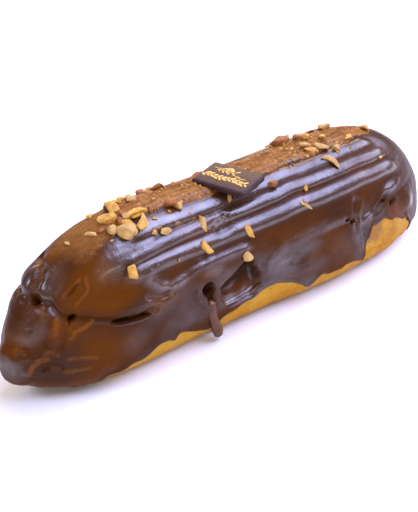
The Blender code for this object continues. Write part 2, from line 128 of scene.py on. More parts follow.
@dataclass(frozen=True)
class PastryForm:
    """The pastry's smooth outer form, before any relief."""

    length: float = 0.150
    half_width: float = 0.02103
    height: float = 0.04103
    left_rounding: float = 0.044
    right_rounding: float = 0.039
    base_share: float = 0.62
    belly_height: float = 0.008
    shoulder_fullness: float = 0.83
    left_drop: float = 0.043
    right_drop: float = 0.082
    left_narrowing: float = 0.20
    right_narrowing: float = 0.10
    waist: tuple[float, float, float] = (-0.0188, 0.0289, 0.178)
    saddle: tuple[float, float, float] = (0.0082, 0.0317, 0.045)
    shift: tuple[float, float] = (0.0, 0.0)
    steps: int = 900
    tables: dict[str, Array] = field(default_factory=dict, compare=False)

    def __post_init__(self) -> None:
        """Measures the outline and the profile once."""
        self._measure_outline()
        self._measure_profile()

    @property
    def anchor_left(self) -> float:
        """Where the straight part starts at -X."""
        return -(self.length / 2 - self.left_rounding)

    @property
    def anchor_right(self) -> float:
        """Where the straight part ends at +X."""
        return self.length / 2 - self.right_rounding

    @property
    def left_tip(self) -> float:
        """`around` at the -X tip."""
        return float(self.tables["around"][0])

    @property
    def right_tip(self) -> float:
        """`around` at the +X tip."""
        return float(self.tables["around"][-1])

    @property
    def crest_rise(self) -> float:
        """`rise` at the crest line."""
        return float(self.tables["rise"][-1])

    def _measure_outline(self) -> None:
        """Half of the plan, from the -X tip along the front to the +X tip."""
        angle = np.linspace(0.0, math.pi / 2, self.steps)
        straight = np.linspace(self.anchor_left, self.anchor_right, self.steps)[1:-1]
        plan_x = np.concatenate([
            self.anchor_left - self.left_rounding * np.cos(angle),
            straight,
            self.anchor_right + self.right_rounding * np.sin(angle),
        ])
        side = np.concatenate([np.sin(angle), np.ones(len(straight)), np.cos(angle)])
        plan_y = self.half_width * side
        walked = np.concatenate([[0.0], np.cumsum(np.hypot(np.diff(plan_x), np.diff(plan_y)))])
        self.tables["plan_x"] = plan_x
        self.tables["plan_y"] = plan_y
        self.tables["around"] = walked - np.interp(0.0, plan_x, walked)

    def _measure_profile(self) -> None:
        """Half of the section, from the base edge over the belly to the crest."""
        low = np.linspace(-math.pi / 2, 0.0, self.steps)
        high = np.linspace(0.0, math.pi / 2, self.steps)[1:]
        share = np.concatenate([
            self.base_share + (1.0 - self.base_share) * np.cos(low),
            np.cos(high).clip(0.0) ** self.shoulder_fullness,
        ])
        level = np.concatenate([
            self.belly_height * (1.0 + np.sin(low)),
            self.belly_height + (self.height - self.belly_height) * np.sin(high),
        ])
        walked = np.cumsum(np.hypot(np.diff(share * self.half_width), np.diff(level)))
        self.tables["share"] = share
        self.tables["level"] = level
        self.tables["rise"] = np.concatenate([[0.0], walked])

    def fold(self, around: Any) -> tuple[Array, Array]:
        """Brings a place on the far side to its mirror place on the front.

        Args:
            around: places along the whole outline.

        Returns:
            The places on the front half, and -1 for the front or +1 for the far side.
        """
        around = np.asarray(around, dtype=float)
        past_right = around > self.right_tip
        past_left = around < self.left_tip
        front = np.where(past_right, 2 * self.right_tip - around, around)
        front = np.where(past_left, 2 * self.left_tip - around, front)
        return front, np.where(past_right | past_left, 1.0, -1.0)

    def wrapped(self, around: Any) -> Array:
        """Places past the +X tip, brought back into one turn round the middle of the front."""
        full = 2 * (self.right_tip - self.left_tip)
        middle = (self.right_tip + self.left_tip) / 2
        return (np.asarray(around) - middle + full / 2) % full - full / 2 + middle

    def point(self, around: Any, rise: Any) -> Array:
        """The point of the form at these measures, shaped (..., 3)."""
        around, rise = np.broadcast_arrays(np.asarray(around, float), np.asarray(rise, float))
        front, side = self.fold(around)
        plan_x = np.interp(front, self.tables["around"], self.tables["plan_x"])
        plan_y = side * np.interp(front, self.tables["around"], self.tables["plan_y"])
        anchor = np.clip(plan_x, self.anchor_left, self.anchor_right)
        share = np.interp(rise, self.tables["rise"], self.tables["share"])
        level = np.interp(rise, self.tables["rise"], self.tables["level"])
        x = anchor + (plan_x - anchor) * share
        left = np.clip(-2.0 * x / self.length, 0.0, 1.0) ** 2
        right = np.clip(2.0 * x / self.length, 0.0, 1.0) ** 2
        y = plan_y * share * (1.0 - self.left_narrowing * left - self.right_narrowing * right)
        z = level * (1.0 - self.left_drop * left - self.right_drop * right)
        y = y * (1.0 - self._sag(x, self.waist))
        z = z * (1.0 - self._sag(x, self.saddle))
        return np.stack([x + self.shift[0], y + self.shift[1], z], axis=-1)

    @staticmethod
    def _sag(x: Array, hollow: tuple[float, float, float]) -> Array:
        """Share lost to a long hollow: its place, its reach and its depth."""
        place, reach, depth = hollow
        return depth * np.exp(-(np.abs((x - place) / reach) ** 3))

    def normal(self, around: Any, rise: Any) -> Array:
        """The outward unit normal of the form at these measures."""
        step = 0.0004
        rise = np.clip(rise, step, self.crest_rise - 2 * step)
        along = self.point(np.asarray(around) + step, rise) - self.point(np.asarray(around) - step, rise)
        upward = self.point(around, rise + step) - self.point(around, rise - step)
        across = np.cross(along, upward)
        return across / np.linalg.norm(across, axis=-1, keepdims=True)

    def shifted(self, around: Any, rise: Any, offset: Any) -> Array:
        """The point of the form moved outwards by an offset."""
        return self.point(around, rise) + self.normal(around, rise) * np.asarray(offset)[..., None]

    def columns(self, fine: tuple[float, float], fine_step: float, coarse_step: float) -> Array:
        """Places of a mesh's columns, from the -X tip along the front and back along the far side.

        Args:
            fine: stretch of the front that gets the fine step.
            fine_step: spacing there.
            coarse_step: spacing elsewhere.

        Returns:
            The places. Column i of the front faces column count - i of the far side.
        """
        start, end = fine
        left = np.linspace(self.left_tip, start, max(2, round((start - self.left_tip) / coarse_step)))
        middle = np.linspace(start, end, round((end - start) / fine_step))
        right = np.linspace(end, self.right_tip, max(2, round((self.right_tip - end) / coarse_step)))
        front = np.concatenate([left, middle[1:], right[1:]])
        return np.concatenate([front, 2 * self.right_tip - front[-2:0:-1]])


@dataclass(frozen=True)
class Hem:
    """The icing's wavy lower edge: (around, rise) stations joined by smooth steps, and finer drips."""

    stations: tuple[tuple[float, float], ...] = (
        (-0.1685, 0.0147), (-0.1300, 0.0123), (-0.1050, 0.0083), (-0.0880, 0.0035), (-0.0640, 0.0035),
        (-0.0543, 0.0079), (-0.0456, 0.0096), (-0.0375, 0.0122), (-0.0313, 0.0121), (-0.0229, 0.0092),
        (-0.0151, 0.0117), (-0.0095, 0.0130), (-0.0022, 0.0149), (0.0045, 0.0136), (0.0109, 0.0098),
        (0.0157, 0.0122), (0.0229, 0.0104), (0.0271, 0.0117), (0.0325, 0.0100), (0.0345, 0.0165),
        (0.0372, 0.0204), (0.0425, 0.0202), (0.0484, 0.0184), (0.0557, 0.0154), (0.0580, 0.0130),
        (0.0604, 0.0080), (0.0660, 0.0072), (0.0760, 0.0100), (0.1000, 0.0135),
        (0.1280, 0.0116), (0.1480, 0.0152), (0.1685, 0.0147),
    )
    drips: tuple[tuple[float, float, float], ...] = (
        (-0.0344, 0.0010, 0.0014), (0.0106, 0.0009, 0.0008), (0.0250, 0.0009, -0.0005),
        (0.0330, 0.0008, 0.0006), (-0.0478, 0.0016, -0.0004), (0.0183, 0.0009, 0.0004),
        (0.0880, 0.0016, 0.0014), (0.1120, 0.0018, 0.0018),
        (0.1370, 0.0016, 0.0016), (-0.1410, 0.0016, 0.0020), (-0.1190, 0.0018, 0.0012),
    )
    waviness: float = 0.00028

    def rise(self, around: Array) -> Array:
        """Rise of the hem at places along the outline."""
        places, rises = (np.array(column) for column in zip(*self.stations))
        after = np.clip(np.searchsorted(places, around), 1, len(places) - 1)
        share = smooth_step(0.0, 1.0, (around - places[after - 1]) / (places[after] - places[after - 1]))
        hem = rises[after - 1] + (rises[after] - rises[after - 1]) * share
        for place, width, drop in self.drips:
            hem = hem - drop * bump(around, place, width)
        wave = np.sin(around / 0.0011) + np.sin(around / 0.00172 + 1.3) + np.sin(around / 0.0031 + 0.4)
        return np.maximum(hem + self.waviness * wave / 1.8, 0.0030)


@dataclass(frozen=True)
class Ridge:
    """One piped, flat-topped ridge: its rise at five places from -X to +X, its height, width and ends."""

    rises: tuple[float, float, float, float, float]
    height: float
    width: float
    start: float
    end: float = 0.052
    squareness: float = 3.0

    PLACES = (-0.045, -0.022, 0.012, 0.036, 0.062)
    FADES = (0.011, 0.011)
    LOWER_SIDE = 0.72
    UPPER_SIDE = 1.05

    def cover(self, front: Array, rise: Array, sway: Array) -> Array:
        """1 on top of the ridge and 0 off it.

        Args:
            front: places on the front half.
            rise: rises there.
            sway: sideways wander of the ridge's line, in metres.

        Returns:
            The cover at each place.
        """
        centre = np.interp(front, self.PLACES, self.rises) + sway
        gap = rise - centre
        width = self.width * np.where(gap < 0.0, self.LOWER_SIDE, self.UPPER_SIDE)
        across = np.exp(-(np.abs(gap / width) ** self.squareness))
        begun = smooth_step(self.start - self.FADES[0], self.start, front)
        return begun * (1.0 - smooth_step(self.end, self.end + self.FADES[1], front)) * across


@dataclass(frozen=True)
class Pit:
    """A dent or hole in the icing: an ellipse in (around, rise), turned, with a flat or round bottom."""

    around: float
    rise: float
    half_length: float
    half_height: float
    depth: float
    turn: float = 0.0
    softness: float = 0.5

    def cover(self, around: Array, rise: Array) -> Array:
        """1 inside the pit and 0 outside it."""
        angle = math.radians(self.turn)
        along, up = around - self.around, rise - self.rise
        first = (along * math.cos(angle) + up * math.sin(angle)) / self.half_length
        second = (up * math.cos(angle) - along * math.sin(angle)) / self.half_height
        distance = np.hypot(first, second)
        return 1.0 - smooth_step(1.0 - self.softness, 1.0 + self.softness * 0.4, distance)


@dataclass(frozen=True)
class Fold:
    """A fold, wrinkle or curl in the icing: a line of (around, rise) places with a height and a width."""

    line: tuple[tuple[float, float], ...]
    height: float
    width: float
    # how strongly a painted orange glint of warm light follows the fold
    glint: float = 0.0

    def cover(self, around: Array, rise: Array) -> Array:
        """1 on the line and 0 away from it."""
        nearest = np.full(np.broadcast(around, rise).shape, np.inf)
        for (x0, y0), (x1, y1) in zip(self.line, self.line[1:]):
            run = (x1 - x0) ** 2 + (y1 - y0) ** 2
            share = np.clip(((around - x0) * (x1 - x0) + (rise - y0) * (y1 - y0)) / run, 0.0, 1.0)
            gap = np.hypot(around - x0 - share * (x1 - x0), rise - y0 - share * (y1 - y0))
            nearest = np.minimum(nearest, gap)
        return np.exp(-((nearest / self.width) ** 2))


LIP_LINE = ((-0.0402, 0.0318), (-0.0384, 0.0306), (-0.0364, 0.0288), (-0.0327, 0.0271), (-0.0299, 0.0276),
            (-0.0249, 0.0287), (-0.0190, 0.0293), (-0.0118, 0.0296), (-0.0080, 0.0295))


@dataclass(frozen=True)
class IcingRelief:
    """All that stands out from, or dips into, the icing's smooth form."""

    form: PastryForm
    ridges: tuple[Ridge, ...] = (
        Ridge((0.0443, 0.0442, 0.0461, 0.0469, 0.0457), 0.00070, 0.00225, -0.038),
        Ridge((0.0382, 0.0393, 0.0413, 0.0418, 0.0402), 0.00085, 0.00200, -0.047),
        Ridge((0.0342, 0.0342, 0.0357, 0.0366, 0.0348), 0.00110, 0.00240, -0.042),
        Ridge((0.0515, 0.0502, 0.0512, 0.0518, 0.0500), 0.00030, 0.00160, -0.036),
    )
    crease: tuple[tuple[float, float], ...] = (
        (-0.0856, 0.0338), (-0.0764, 0.0332), (-0.0739, 0.0324), (-0.0705, 0.0321), (-0.0689, 0.0306),
        (-0.0660, 0.0286), (-0.0636, 0.0281), (-0.0574, 0.0266), (-0.0540, 0.0257), (-0.0490, 0.0242),
        (-0.0440, 0.0234), (-0.0331, 0.0239), (-0.0175, 0.0239), (0.0274, 0.0262), (0.0444, 0.0264),
        (0.0840, 0.0280),
    )
    holes: tuple[Pit, ...] = (
        Pit(-0.0764, 0.0332, 0.0016, 0.0009, 0.0028, -30.0),
        Pit(-0.0770, 0.0338, 0.0006, 0.0014, 0.0016, 20.0),
        Pit(-0.0633, 0.0283, 0.0012, 0.0009, 0.0024, 10.0),
        Pit(-0.0638, 0.0276, 0.0004, 0.0013, 0.0014, 0.0),
        Pit(-0.0462, 0.0233, 0.0058, 0.00075, 0.0034, -9.0, 0.30),
        Pit(0.0290, 0.0250, 0.0010, 0.0009, 0.0026, 0.0),
        Pit(0.0271, 0.0264, 0.0007, 0.0006, 0.0018, 0.0),
        Pit(0.0481, 0.0246, 0.0018, 0.0009, 0.0024, 12.0),
        Pit(0.0446, 0.0265, 0.0009, 0.0006, 0.0018, 10.0),
        Pit(-0.0216, 0.0218, 0.0021, 0.0021, 0.0024, 0.0, 0.35),
        Pit(-0.0118, 0.0409, 0.0004, 0.0005, 0.0008),
        Pit(-0.0106, 0.0402, 0.0003, 0.0003, 0.0007),
        Pit(-0.0158, 0.0388, 0.0005, 0.0003, 0.0007),
        Pit(-0.0139, 0.0377, 0.0003, 0.0004, 0.0006),
        Pit(-0.0215, 0.0189, 0.0011, 0.0031, 0.0017, 4.0, 0.5),
    )
    dents: tuple[Pit, ...] = (
        Pit(-0.0653, 0.0349, 0.0020, 0.0009, 0.00085, 40.0, 0.45),
        Pit(-0.0758, 0.0205, 0.0022, 0.0013, 0.00090, 20.0, 0.6),
        Pit(-0.0698, 0.0232, 0.0012, 0.0045, 0.00060, 5.0, 0.7),
        Pit(-0.0653, 0.0228, 0.0011, 0.0034, 0.00060, -10.0, 0.7),
        Pit(-0.0746, 0.0266, 0.0007, 0.0010, 0.00030, 0.0),
        Pit(-0.0566, 0.0214, 0.0045, 0.0030, 0.00055, -20.0, 0.8),
        Pit(0.0306, 0.0271, 0.0012, 0.0055, 0.00060, -10.0, 0.7),
        Pit(0.0335, 0.0184, 0.0010, 0.0065, 0.00060, 6.0, 0.6),
        Pit(0.0427, 0.0268, 0.0050, 0.0014, 0.00060, 30.0, 0.7),
        Pit(0.0068, 0.0226, 0.0045, 0.0040, 0.00075, -20.0, 0.8),
        Pit(-0.0278, 0.0198, 0.0030, 0.0050, 0.00050, 30.0, 0.8),
        Pit(-0.0140, 0.0385, 0.0040, 0.0030, 0.00060, 0.0, 0.7),
    )
    swells: tuple[Pit, ...] = (
        Pit(-0.0803, 0.0154, 0.0085, 0.0062, 0.0012, -10.0, 0.40),
        Pit(-0.0630, 0.0095, 0.0085, 0.0045, 0.0006, 10.0, 0.7),
        Pit(-0.0749, 0.0259, 0.0055, 0.0045, 0.0008, 5.0, 0.8),
        Pit(-0.0557, 0.0154, 0.0070, 0.0040, 0.0005, 0.0, 0.9),
        Pit(-0.0824, 0.0371, 0.0040, 0.0060, 0.0009, 25.0, 0.6),
        Pit(0.0276, 0.0174, 0.0050, 0.0070, 0.0004, 5.0, 0.8),
        Pit(0.0124, 0.0156, 0.0060, 0.0045, 0.0006, 25.0, 0.9),
        Pit(0.0396, 0.0238, 0.0040, 0.0025, 0.0004, 5.0, 0.9),
        Pit(0.0508, 0.0296, 0.0050, 0.0020, 0.0009, 10.0, 0.8),
        Pit(0.0566, 0.0215, 0.0050, 0.0030, 0.0008, 0.0, 0.9),
        Pit(-0.0131, 0.0134, 0.0075, 0.0011, 0.0006, 5.0, 0.8),
    )
    folds: tuple[Fold, ...] = (
        Fold(((-0.0927, 0.0404), (-0.0850, 0.0406), (-0.0804, 0.0394), (-0.0781, 0.0374), (-0.0763, 0.0342)),
             -0.0010, 0.0008, 0.8),
        Fold(LIP_LINE, 0.0007, 0.0014, 0.0),
        Fold(((-0.0330, 0.0270), (-0.0326, 0.0246)), 0.0006, 0.0005, 0.0),
        Fold(((-0.0326, 0.0263), (-0.0358, 0.0254), (-0.0406, 0.0271)), -0.0007, 0.0010, 0.5),
        Fold(((-0.0619, 0.0371), (-0.0596, 0.0340), (-0.0628, 0.0313)), 0.00045, 0.0005, 0.9),
        Fold(((-0.0638, 0.0371), (-0.0674, 0.0340)), 0.00035, 0.0005, 0.9),
        Fold(((-0.0575, 0.0262), (-0.0599, 0.0254), (-0.0622, 0.0247), (-0.0628, 0.0233)),
             0.0006, 0.0006, 1.0),
        Fold(((-0.0644, 0.0276), (-0.0635, 0.0259), (-0.0628, 0.0244)), 0.0005, 0.0005, 0.8),
        Fold(((-0.0674, 0.0287), (-0.0673, 0.0252)), 0.0005, 0.0008, 1.0),
        Fold(((-0.0730, 0.0317), (-0.0724, 0.0304)), 0.0004, 0.0006, 1.0),
        Fold(((-0.0743, 0.0148), (-0.0728, 0.0167), (-0.0718, 0.0179), (-0.0690, 0.0187)),
             0.0010, 0.0007, 1.0),
        Fold(((-0.0697, 0.0197), (-0.0678, 0.0202), (-0.0664, 0.0192)), 0.0008, 0.0006, 0.8),
        Fold(((-0.0713, 0.0152), (-0.0689, 0.0162), (-0.0659, 0.0155)), -0.0007, 0.0008, 0.2),
        Fold(((-0.0638, 0.0173), (-0.0610, 0.0172), (-0.0568, 0.0164)), 0.0004, 0.0004, 0.9),
        Fold(((-0.0654, 0.0139), (-0.0619, 0.0138), (-0.0583, 0.0138)), 0.0004, 0.0004, 0.9),
        Fold(((-0.0556, 0.0131), (-0.0541, 0.0133), (-0.0530, 0.0119)), 0.0005, 0.0005, 0.5),
        Fold(((-0.0779, 0.0214), (-0.0755, 0.0203)), 0.0004, 0.0006, 1.0),
        Fold(((0.0031, 0.0275), (-0.0004, 0.0238), (-0.0022, 0.0215), (-0.0031, 0.0182)),
             0.0005, 0.0019, 0.0),
        Fold(((0.0468, 0.0296), (0.0389, 0.0269), (0.0329, 0.0236)), 0.0003, 0.0009, 0.0),
        Fold(((0.0336, 0.0301), (0.0316, 0.0274), (0.0310, 0.0240), (0.0324, 0.0188)), 0.0003, 0.0009, 0.0),
        Fold(((-0.0259, 0.0224), (-0.0252, 0.0197), (-0.0233, 0.0170), (-0.0214, 0.0149)),
             0.0005, 0.0006, 0.5),
    )
    noise: LatticeNoise = field(default_factory=lambda: LatticeNoise(11))
    grain: LatticeNoise = field(default_factory=lambda: LatticeNoise(12))

    CREASE_BANDS = ((-0.0011, 0.0, 0.0009), (0.00060, 0.0028, 0.0022), (0.00035, -0.0030, 0.0022))
    POCKET_CORNERS = ((-0.0087, 0.0263), (-0.0186, 0.0211), (-0.0188, 0.0168), (-0.0177, 0.0141),
                      (-0.0092, 0.0147), (-0.0042, 0.0164), (-0.0040, 0.0198), (-0.0056, 0.0255))
    POCKET_DEPTH = 0.0027
    POCKET_EDGE = 0.0013
    POCKET_RIM = 0.00025
    POCKET_FLOOR = 0.0004            # roughness of the pocket's floor
    GLINT_SPREAD = 0.28
    SLOW_SWAY = 0.0006
    QUICK_SWAY = 0.0003
    UNEVENNESS = 0.00032             # broad lumps all over
    STREAK_HEIGHT = 0.00022
    SKIRT_LUMPS = 0.00020
    CROWN_ROUGHNESS = 0.00060
    SKIN_GRAIN = 0.00003
    MESS_HEIGHT = 0.00045            # rough spot beside the plaque
    TORN_HOLE = 9

    def pocket(self, around: Array, rise: Array) -> Array:
        """Cover of the torn pocket, a many-cornered hole with soft edges."""
        inside = np.full(np.broadcast(around, rise).shape, 1.0)
        corners = self.POCKET_CORNERS
        for (x0, y0), (x1, y1) in zip(corners, corners[1:] + corners[:1]):
            run = math.hypot(x1 - x0, y1 - y0)
            distance = ((rise - y0) * (x1 - x0) - (around - x0) * (y1 - y0)) / run
            inside = np.minimum(inside, distance)
        wobble = 0.0005 * self.grain.layered(self.form.point(around, rise), 0.0032, 2)
        return smooth_step(0.0, self.POCKET_EDGE, inside + wobble)

    def openings(self, around: Array, rise: Array) -> Array:
        """1 in the slits, holes and the pocket, where the icing lies in shadow."""
        place = self.form.wrapped(around)
        upper = smooth_step(0.0165, 0.0225, rise)
        cover = self.pocket(place, rise) * (0.42 + 0.55 * upper)
        for hole in self.holes:
            cover = np.maximum(cover, hole.cover(place, rise))
        return cover

    def glints(self, around: Array, rise: Array) -> Array:
        """1 on folds where orange glints of warm light are painted into the icing's colour."""
        place = self.form.wrapped(around)
        cover = np.zeros(np.broadcast(around, rise).shape)
        for fold in self.folds:
            if fold.glint:
                cover = np.maximum(cover, fold.glint * fold.cover(place, rise) ** self.GLINT_SPREAD)
        return cover

    def torn_rim(self, around: Array, rise: Array) -> Array:
        """1 on the thin rims of the pocket and of the hole beside it, where glints are painted."""
        place = self.form.wrapped(around)
        torn = np.maximum(self.pocket(place, rise), self.holes[self.TORN_HOLE].cover(place, rise))
        return smooth_step(0.02, 0.30, torn) * (1.0 - smooth_step(0.30, 0.90, torn))

    def ridge_tops(self, around: Array, rise: Array) -> Array:
        """1 on the ridges' tops and 0 off them."""
        front, _ = self.form.fold(self.form.wrapped(around))
        sway = self._sway(around, rise)
        return np.maximum.reduce([ridge.cover(front, rise, sway) for ridge in self.ridges])

    def _sway(self, around: Array, rise: Array) -> Array:
        """Sideways wander of the ridges' lines."""
        where = self.form.point(self.form.wrapped(around), rise)
        slow = self.noise.at(where, (0.020, 0.10, 0.10)) * self.SLOW_SWAY
        return slow + self.grain.at(where, (0.007, 0.05, 0.05)) * self.QUICK_SWAY

    def height(self, around: Array, rise: Array) -> Array:
        """Height of the icing's outer face over the form.

        Args:
            around: places along the outline.
            rise: rises there.

        Returns:
            Heights in metres.
        """
        place = self.form.wrapped(around)
        front, side = self.form.fold(place)
        where = self.form.point(place, rise)
        total = self.noise.layered(where, (0.016, 0.009, 0.009), 2) * self.UNEVENNESS
        sway = self._sway(around, rise)
        for ridge in self.ridges:
            total = total + ridge.height * ridge.cover(front, rise, sway)

        places, rises = (np.array(column) for column in zip(*self.crease))
        fold_rise = np.interp(front, places, rises) + sway
        strength = window(front, -0.090, -0.043, 0.008) + 0.20 * window(front, 0.024, 0.060, 0.010)
        strength = np.maximum(strength, 0.4 * (side > 0) * (1.0 - smooth_step(0.055, 0.080, front)))
        gap = rise - fold_rise
        for amount, middle, width in self.CREASE_BANDS:
            total = total + amount * strength * bump(gap, middle, width)

        for swell in self.swells:
            total = total + swell.depth * swell.cover(place, rise)
        for dent in self.dents:
            total = total - dent.depth * dent.cover(place, rise)
        for fold in self.folds:
            total = total + fold.height * fold.cover(place, rise)

        skirt = 1.0 - smooth_step(0.022, 0.031, rise)
        left_end = 1.0 - smooth_step(-0.062, -0.035, front)
        streaks = self.grain.layered(where, (0.0030, 0.0030, 0.0120), 2)
        total = total + streaks * self.STREAK_HEIGHT * skirt * (0.5 + left_end)
        total = total + self.grain.layered(where, 0.0045, 2) * self.SKIRT_LUMPS * (skirt + 0.35)
        crown = smooth_step(0.0485, 0.0520, rise)
        total = total + self.grain.layered(where, (0.0040, 0.0022, 0.0022), 3) * self.CROWN_ROUGHNESS * crown
        total = total + self.noise.at(where, 0.0011) * self.SKIN_GRAIN

        mess = bump(place, -0.0135, 0.0062) * bump(rise, 0.0393, 0.0034)
        total = total + self.grain.layered(where, 0.0014, 2) * self.MESS_HEIGHT * mess

        pocket = self.pocket(place, rise)
        floor = self.grain.layered(where, 0.0035, 2) * self.POCKET_FLOOR
        rim = smooth_step(0.02, 0.30, pocket) * (1.0 - smooth_step(0.30, 0.95, pocket))
        bowl = 0.45 + 0.55 * smooth_step(0.0148, 0.0225, rise)
        total = total + self.POCKET_RIM * rim - pocket * (self.POCKET_DEPTH * bowl + floor)
        for hole in self.holes:
            total = total - hole.depth * hole.cover(place, rise)
        return total


def soft_patch(around: float, rise: float, half_length: float, half_height: float, turn: float,
               strength: float, softness: float = 0.9) -> tuple[Pit, float]:
    """A flat patch with soft edges and how strongly it counts."""
    return Pit(around, rise, half_length, half_height, 0.0, turn, softness), strength


@dataclass(frozen=True)
class Sheen:
    """Where the icing shines and where it is painted a warmer brown: soft patches on the skirt and the dome.
    """

    shine: tuple[tuple[Pit, float], ...] = (
        soft_patch(-0.0731, 0.0361, 0.0045, 0.0055, 20.0, 0.65),
        soft_patch(-0.0704, 0.0312, 0.0040, 0.0015, -20.0, 0.35),
        soft_patch(-0.0824, 0.0376, 0.0030, 0.0050, 20.0, 0.60),
        soft_patch(-0.0505, 0.0415, 0.0085, 0.0062, 15.0, 1.0),
        soft_patch(-0.0426, 0.0347, 0.0030, 0.0030, 0.0, 0.8),
        soft_patch(-0.0744, 0.0263, 0.0050, 0.0040, 0.0, 0.55),
        soft_patch(-0.0787, 0.0158, 0.0050, 0.0040, 0.0, 0.60),
        soft_patch(-0.0450, 0.0175, 0.0060, 0.0040, 30.0, 0.2),
        soft_patch(-0.0225, 0.0302, 0.0016, 0.0018, 0.0, 1.0),
        soft_patch(-0.0190, 0.0302, 0.0014, 0.0020, 0.0, 1.0),
        soft_patch(0.0630, 0.0405, 0.0055, 0.0065, 0.0, 0.7),
        soft_patch(-0.0190, 0.0268, 0.0040, 0.0030, 0.0, 0.6),
        soft_patch(-0.0012, 0.0225, 0.0022, 0.0055, -20.0, 0.75),
        soft_patch(0.0052, 0.0148, 0.0070, 0.0030, 10.0, 0.5),
        soft_patch(0.0246, 0.0184, 0.0060, 0.0060, 0.0, 0.12),
        soft_patch(0.0478, 0.0296, 0.0040, 0.0020, 0.0, 1.0),
        soft_patch(0.0362, 0.0246, 0.0015, 0.0020, 0.0, 1.0),
        soft_patch(0.0319, 0.0317, 0.0013, 0.0011, 0.0, 0.6),
        soft_patch(0.0607, 0.0199, 0.0030, 0.0030, 0.0, 0.8),
        soft_patch(-0.0112, 0.0162, 0.0050, 0.0012, 12.0, 1.0),
    )
    pools: tuple[tuple[Pit, float], ...] = (
        soft_patch(-0.0150, 0.0160, 0.0030, 0.0014, 3.0, 1.0, 0.7),
        soft_patch(-0.0092, 0.0164, 0.0024, 0.0012, 0.0, 0.9, 0.7),
        soft_patch(-0.0140, 0.0192, 0.0030, 0.0008, 12.0, 0.6),
        soft_patch(-0.0068, 0.0200, 0.0006, 0.0030, 5.0, 0.6),
    )
    # Warmer brown patches: partly the icing's own uneven tone, partly painted warm reflection.
    brown: tuple[tuple[Pit, float], ...] = (
        soft_patch(-0.0596, 0.0365, 0.0090, 0.0080, 0.0, 0.9),
        soft_patch(-0.0512, 0.0306, 0.0080, 0.0040, 0.0, 0.8),
        soft_patch(-0.0865, 0.0433, 0.0090, 0.0030, 0.0, 0.9),
        soft_patch(-0.0648, 0.0251, 0.0060, 0.0050, 0.0, 0.7),
        soft_patch(-0.0557, 0.0184, 0.0080, 0.0060, 0.0, 0.5),
        soft_patch(-0.0700, 0.0059, 0.0160, 0.0050, 0.0, 0.6),
        soft_patch(0.0408, 0.0319, 0.0180, 0.0040, 0.0, 0.15),
        soft_patch(0.0486, 0.0205, 0.0080, 0.0040, 0.0, 0.4),
        soft_patch(0.0077, 0.0306, 0.0140, 0.0030, 0.0, 0.15),
        soft_patch(-0.0364, 0.0239, 0.0080, 0.0030, 0.0, 0.5),
    )

    BANDS = (
        Fold(((-0.0372, 0.0446), (-0.0290, 0.0447), (-0.0200, 0.0448), (-0.0130, 0.0452)), 0.95, 0.0025),
        Fold(((-0.0450, 0.0386), (-0.0420, 0.0404), (-0.0360, 0.0412)), 0.80, 0.0016),
        Fold(((0.0030, 0.0215), (0.0075, 0.0252), (0.0150, 0.0268), (0.0258, 0.0266)), 0.50, 0.0014),
        Fold(((0.0085, 0.0275), (0.0190, 0.0285)), 0.35, 0.0012),
    )

    @staticmethod
    def cover(patches: Sequence[tuple[Pit, float]], place: Array, rise: Array) -> Array:
        """The strongest of soft patches at each place."""
        return np.maximum.reduce([amount * patch.cover(place, rise) for patch, amount in patches])


# --- Mesh helpers ---


def ring_faces(rings: int, count: int, zip_crest: bool) -> Array:
    """Four-cornered faces between rings of points, zipped shut along the crest if asked.

    Args:
        rings: number of rings, from the lowest to the highest.
        count: points in each ring.
        zip_crest: whether the last ring's two sides are joined.

    Returns:
        Faces as rows of four indices; a face of three repeats its last index.
    """
    row = np.arange(rings - 1)[:, None] * count
    here = np.arange(count)[None, :]
    after = (here + 1) % count
    faces = np.stack([row + here, row + after, row + count + after, row + count + here], axis=-1)
    faces = faces.reshape(-1, 4)
    if not zip_crest:
        return faces
    first, half = (rings - 1) * count, count // 2
    step = np.arange(1, half - 1)
    strip = np.stack([step, step + 1, count - step - 1, count - step], axis=-1)
    ends = np.array([[0, 1, count - 1, count - 1], [half - 1, half, half + 1, half + 1]])
    return np.concatenate([faces, first + strip, first + ends])


def link_object(name: str, data: Any) -> bpy.types.Object:
    """A new object of the scene with this data."""
    thing = bpy.data.objects.new(name, data)
    bpy.context.scene.collection.objects.link(thing)
    return thing


def make_mesh(name: str, points: Array, faces: Iterable[Sequence[int]]) -> bpy.types.Object:
    """An object with this mesh, smooth, with consistent outward normals.

    Args:
        name: name of the object.
        points: vertex places, shaped (n, 3).
        faces: faces as rows of indices; repeated indices in a row are dropped.

    Returns:
        The linked object, at the origin.
    """
    mesh = bpy.data.meshes.new(name)
    plain = [tuple(dict.fromkeys(int(corner) for corner in face)) for face in faces]
    mesh.from_pydata(points.tolist(), [], plain)
    work = bmesh.new()
    work.from_mesh(mesh)
    bmesh.ops.recalc_face_normals(work, faces=work.faces[:])
    work.to_mesh(mesh)
    work.free()
    mesh.shade_smooth()
    return link_object(name, mesh)


def capped_tube(name: str, rings: Array) -> bpy.types.Object:
    """A closed mesh through rings of points, shaped (rings, points of a ring, 3), capped at both ends."""
    count, sides = rings.shape[:2]
    last = (count - 1) * sides
    faces = [tuple(face) for face in ring_faces(count, sides, False)]
    faces += [tuple(range(sides)), tuple(range(last, last + sides))]
    return make_mesh(name, rings.reshape(-1, 3), faces)


def wrap_in_hull(work: bmesh.types.BMesh) -> None:
    """Joins loose vertices into their convex hull and drops those inside it."""
    hull = bmesh.ops.convex_hull(work, input=work.verts[:])
    spare = {item for item in hull["geom_interior"] if isinstance(item, bmesh.types.BMVert)}
    bmesh.ops.delete(work, geom=list(spare), context="VERTS")


def paint(thing: bpy.types.Object, name: str, values: Array) -> None:
    """Stores one number for each vertex, for the materials to read."""
    attribute = thing.data.attributes.new(name, "FLOAT", "POINT")
    attribute.data.foreach_set("value", np.ascontiguousarray(values, dtype=np.float32).ravel())


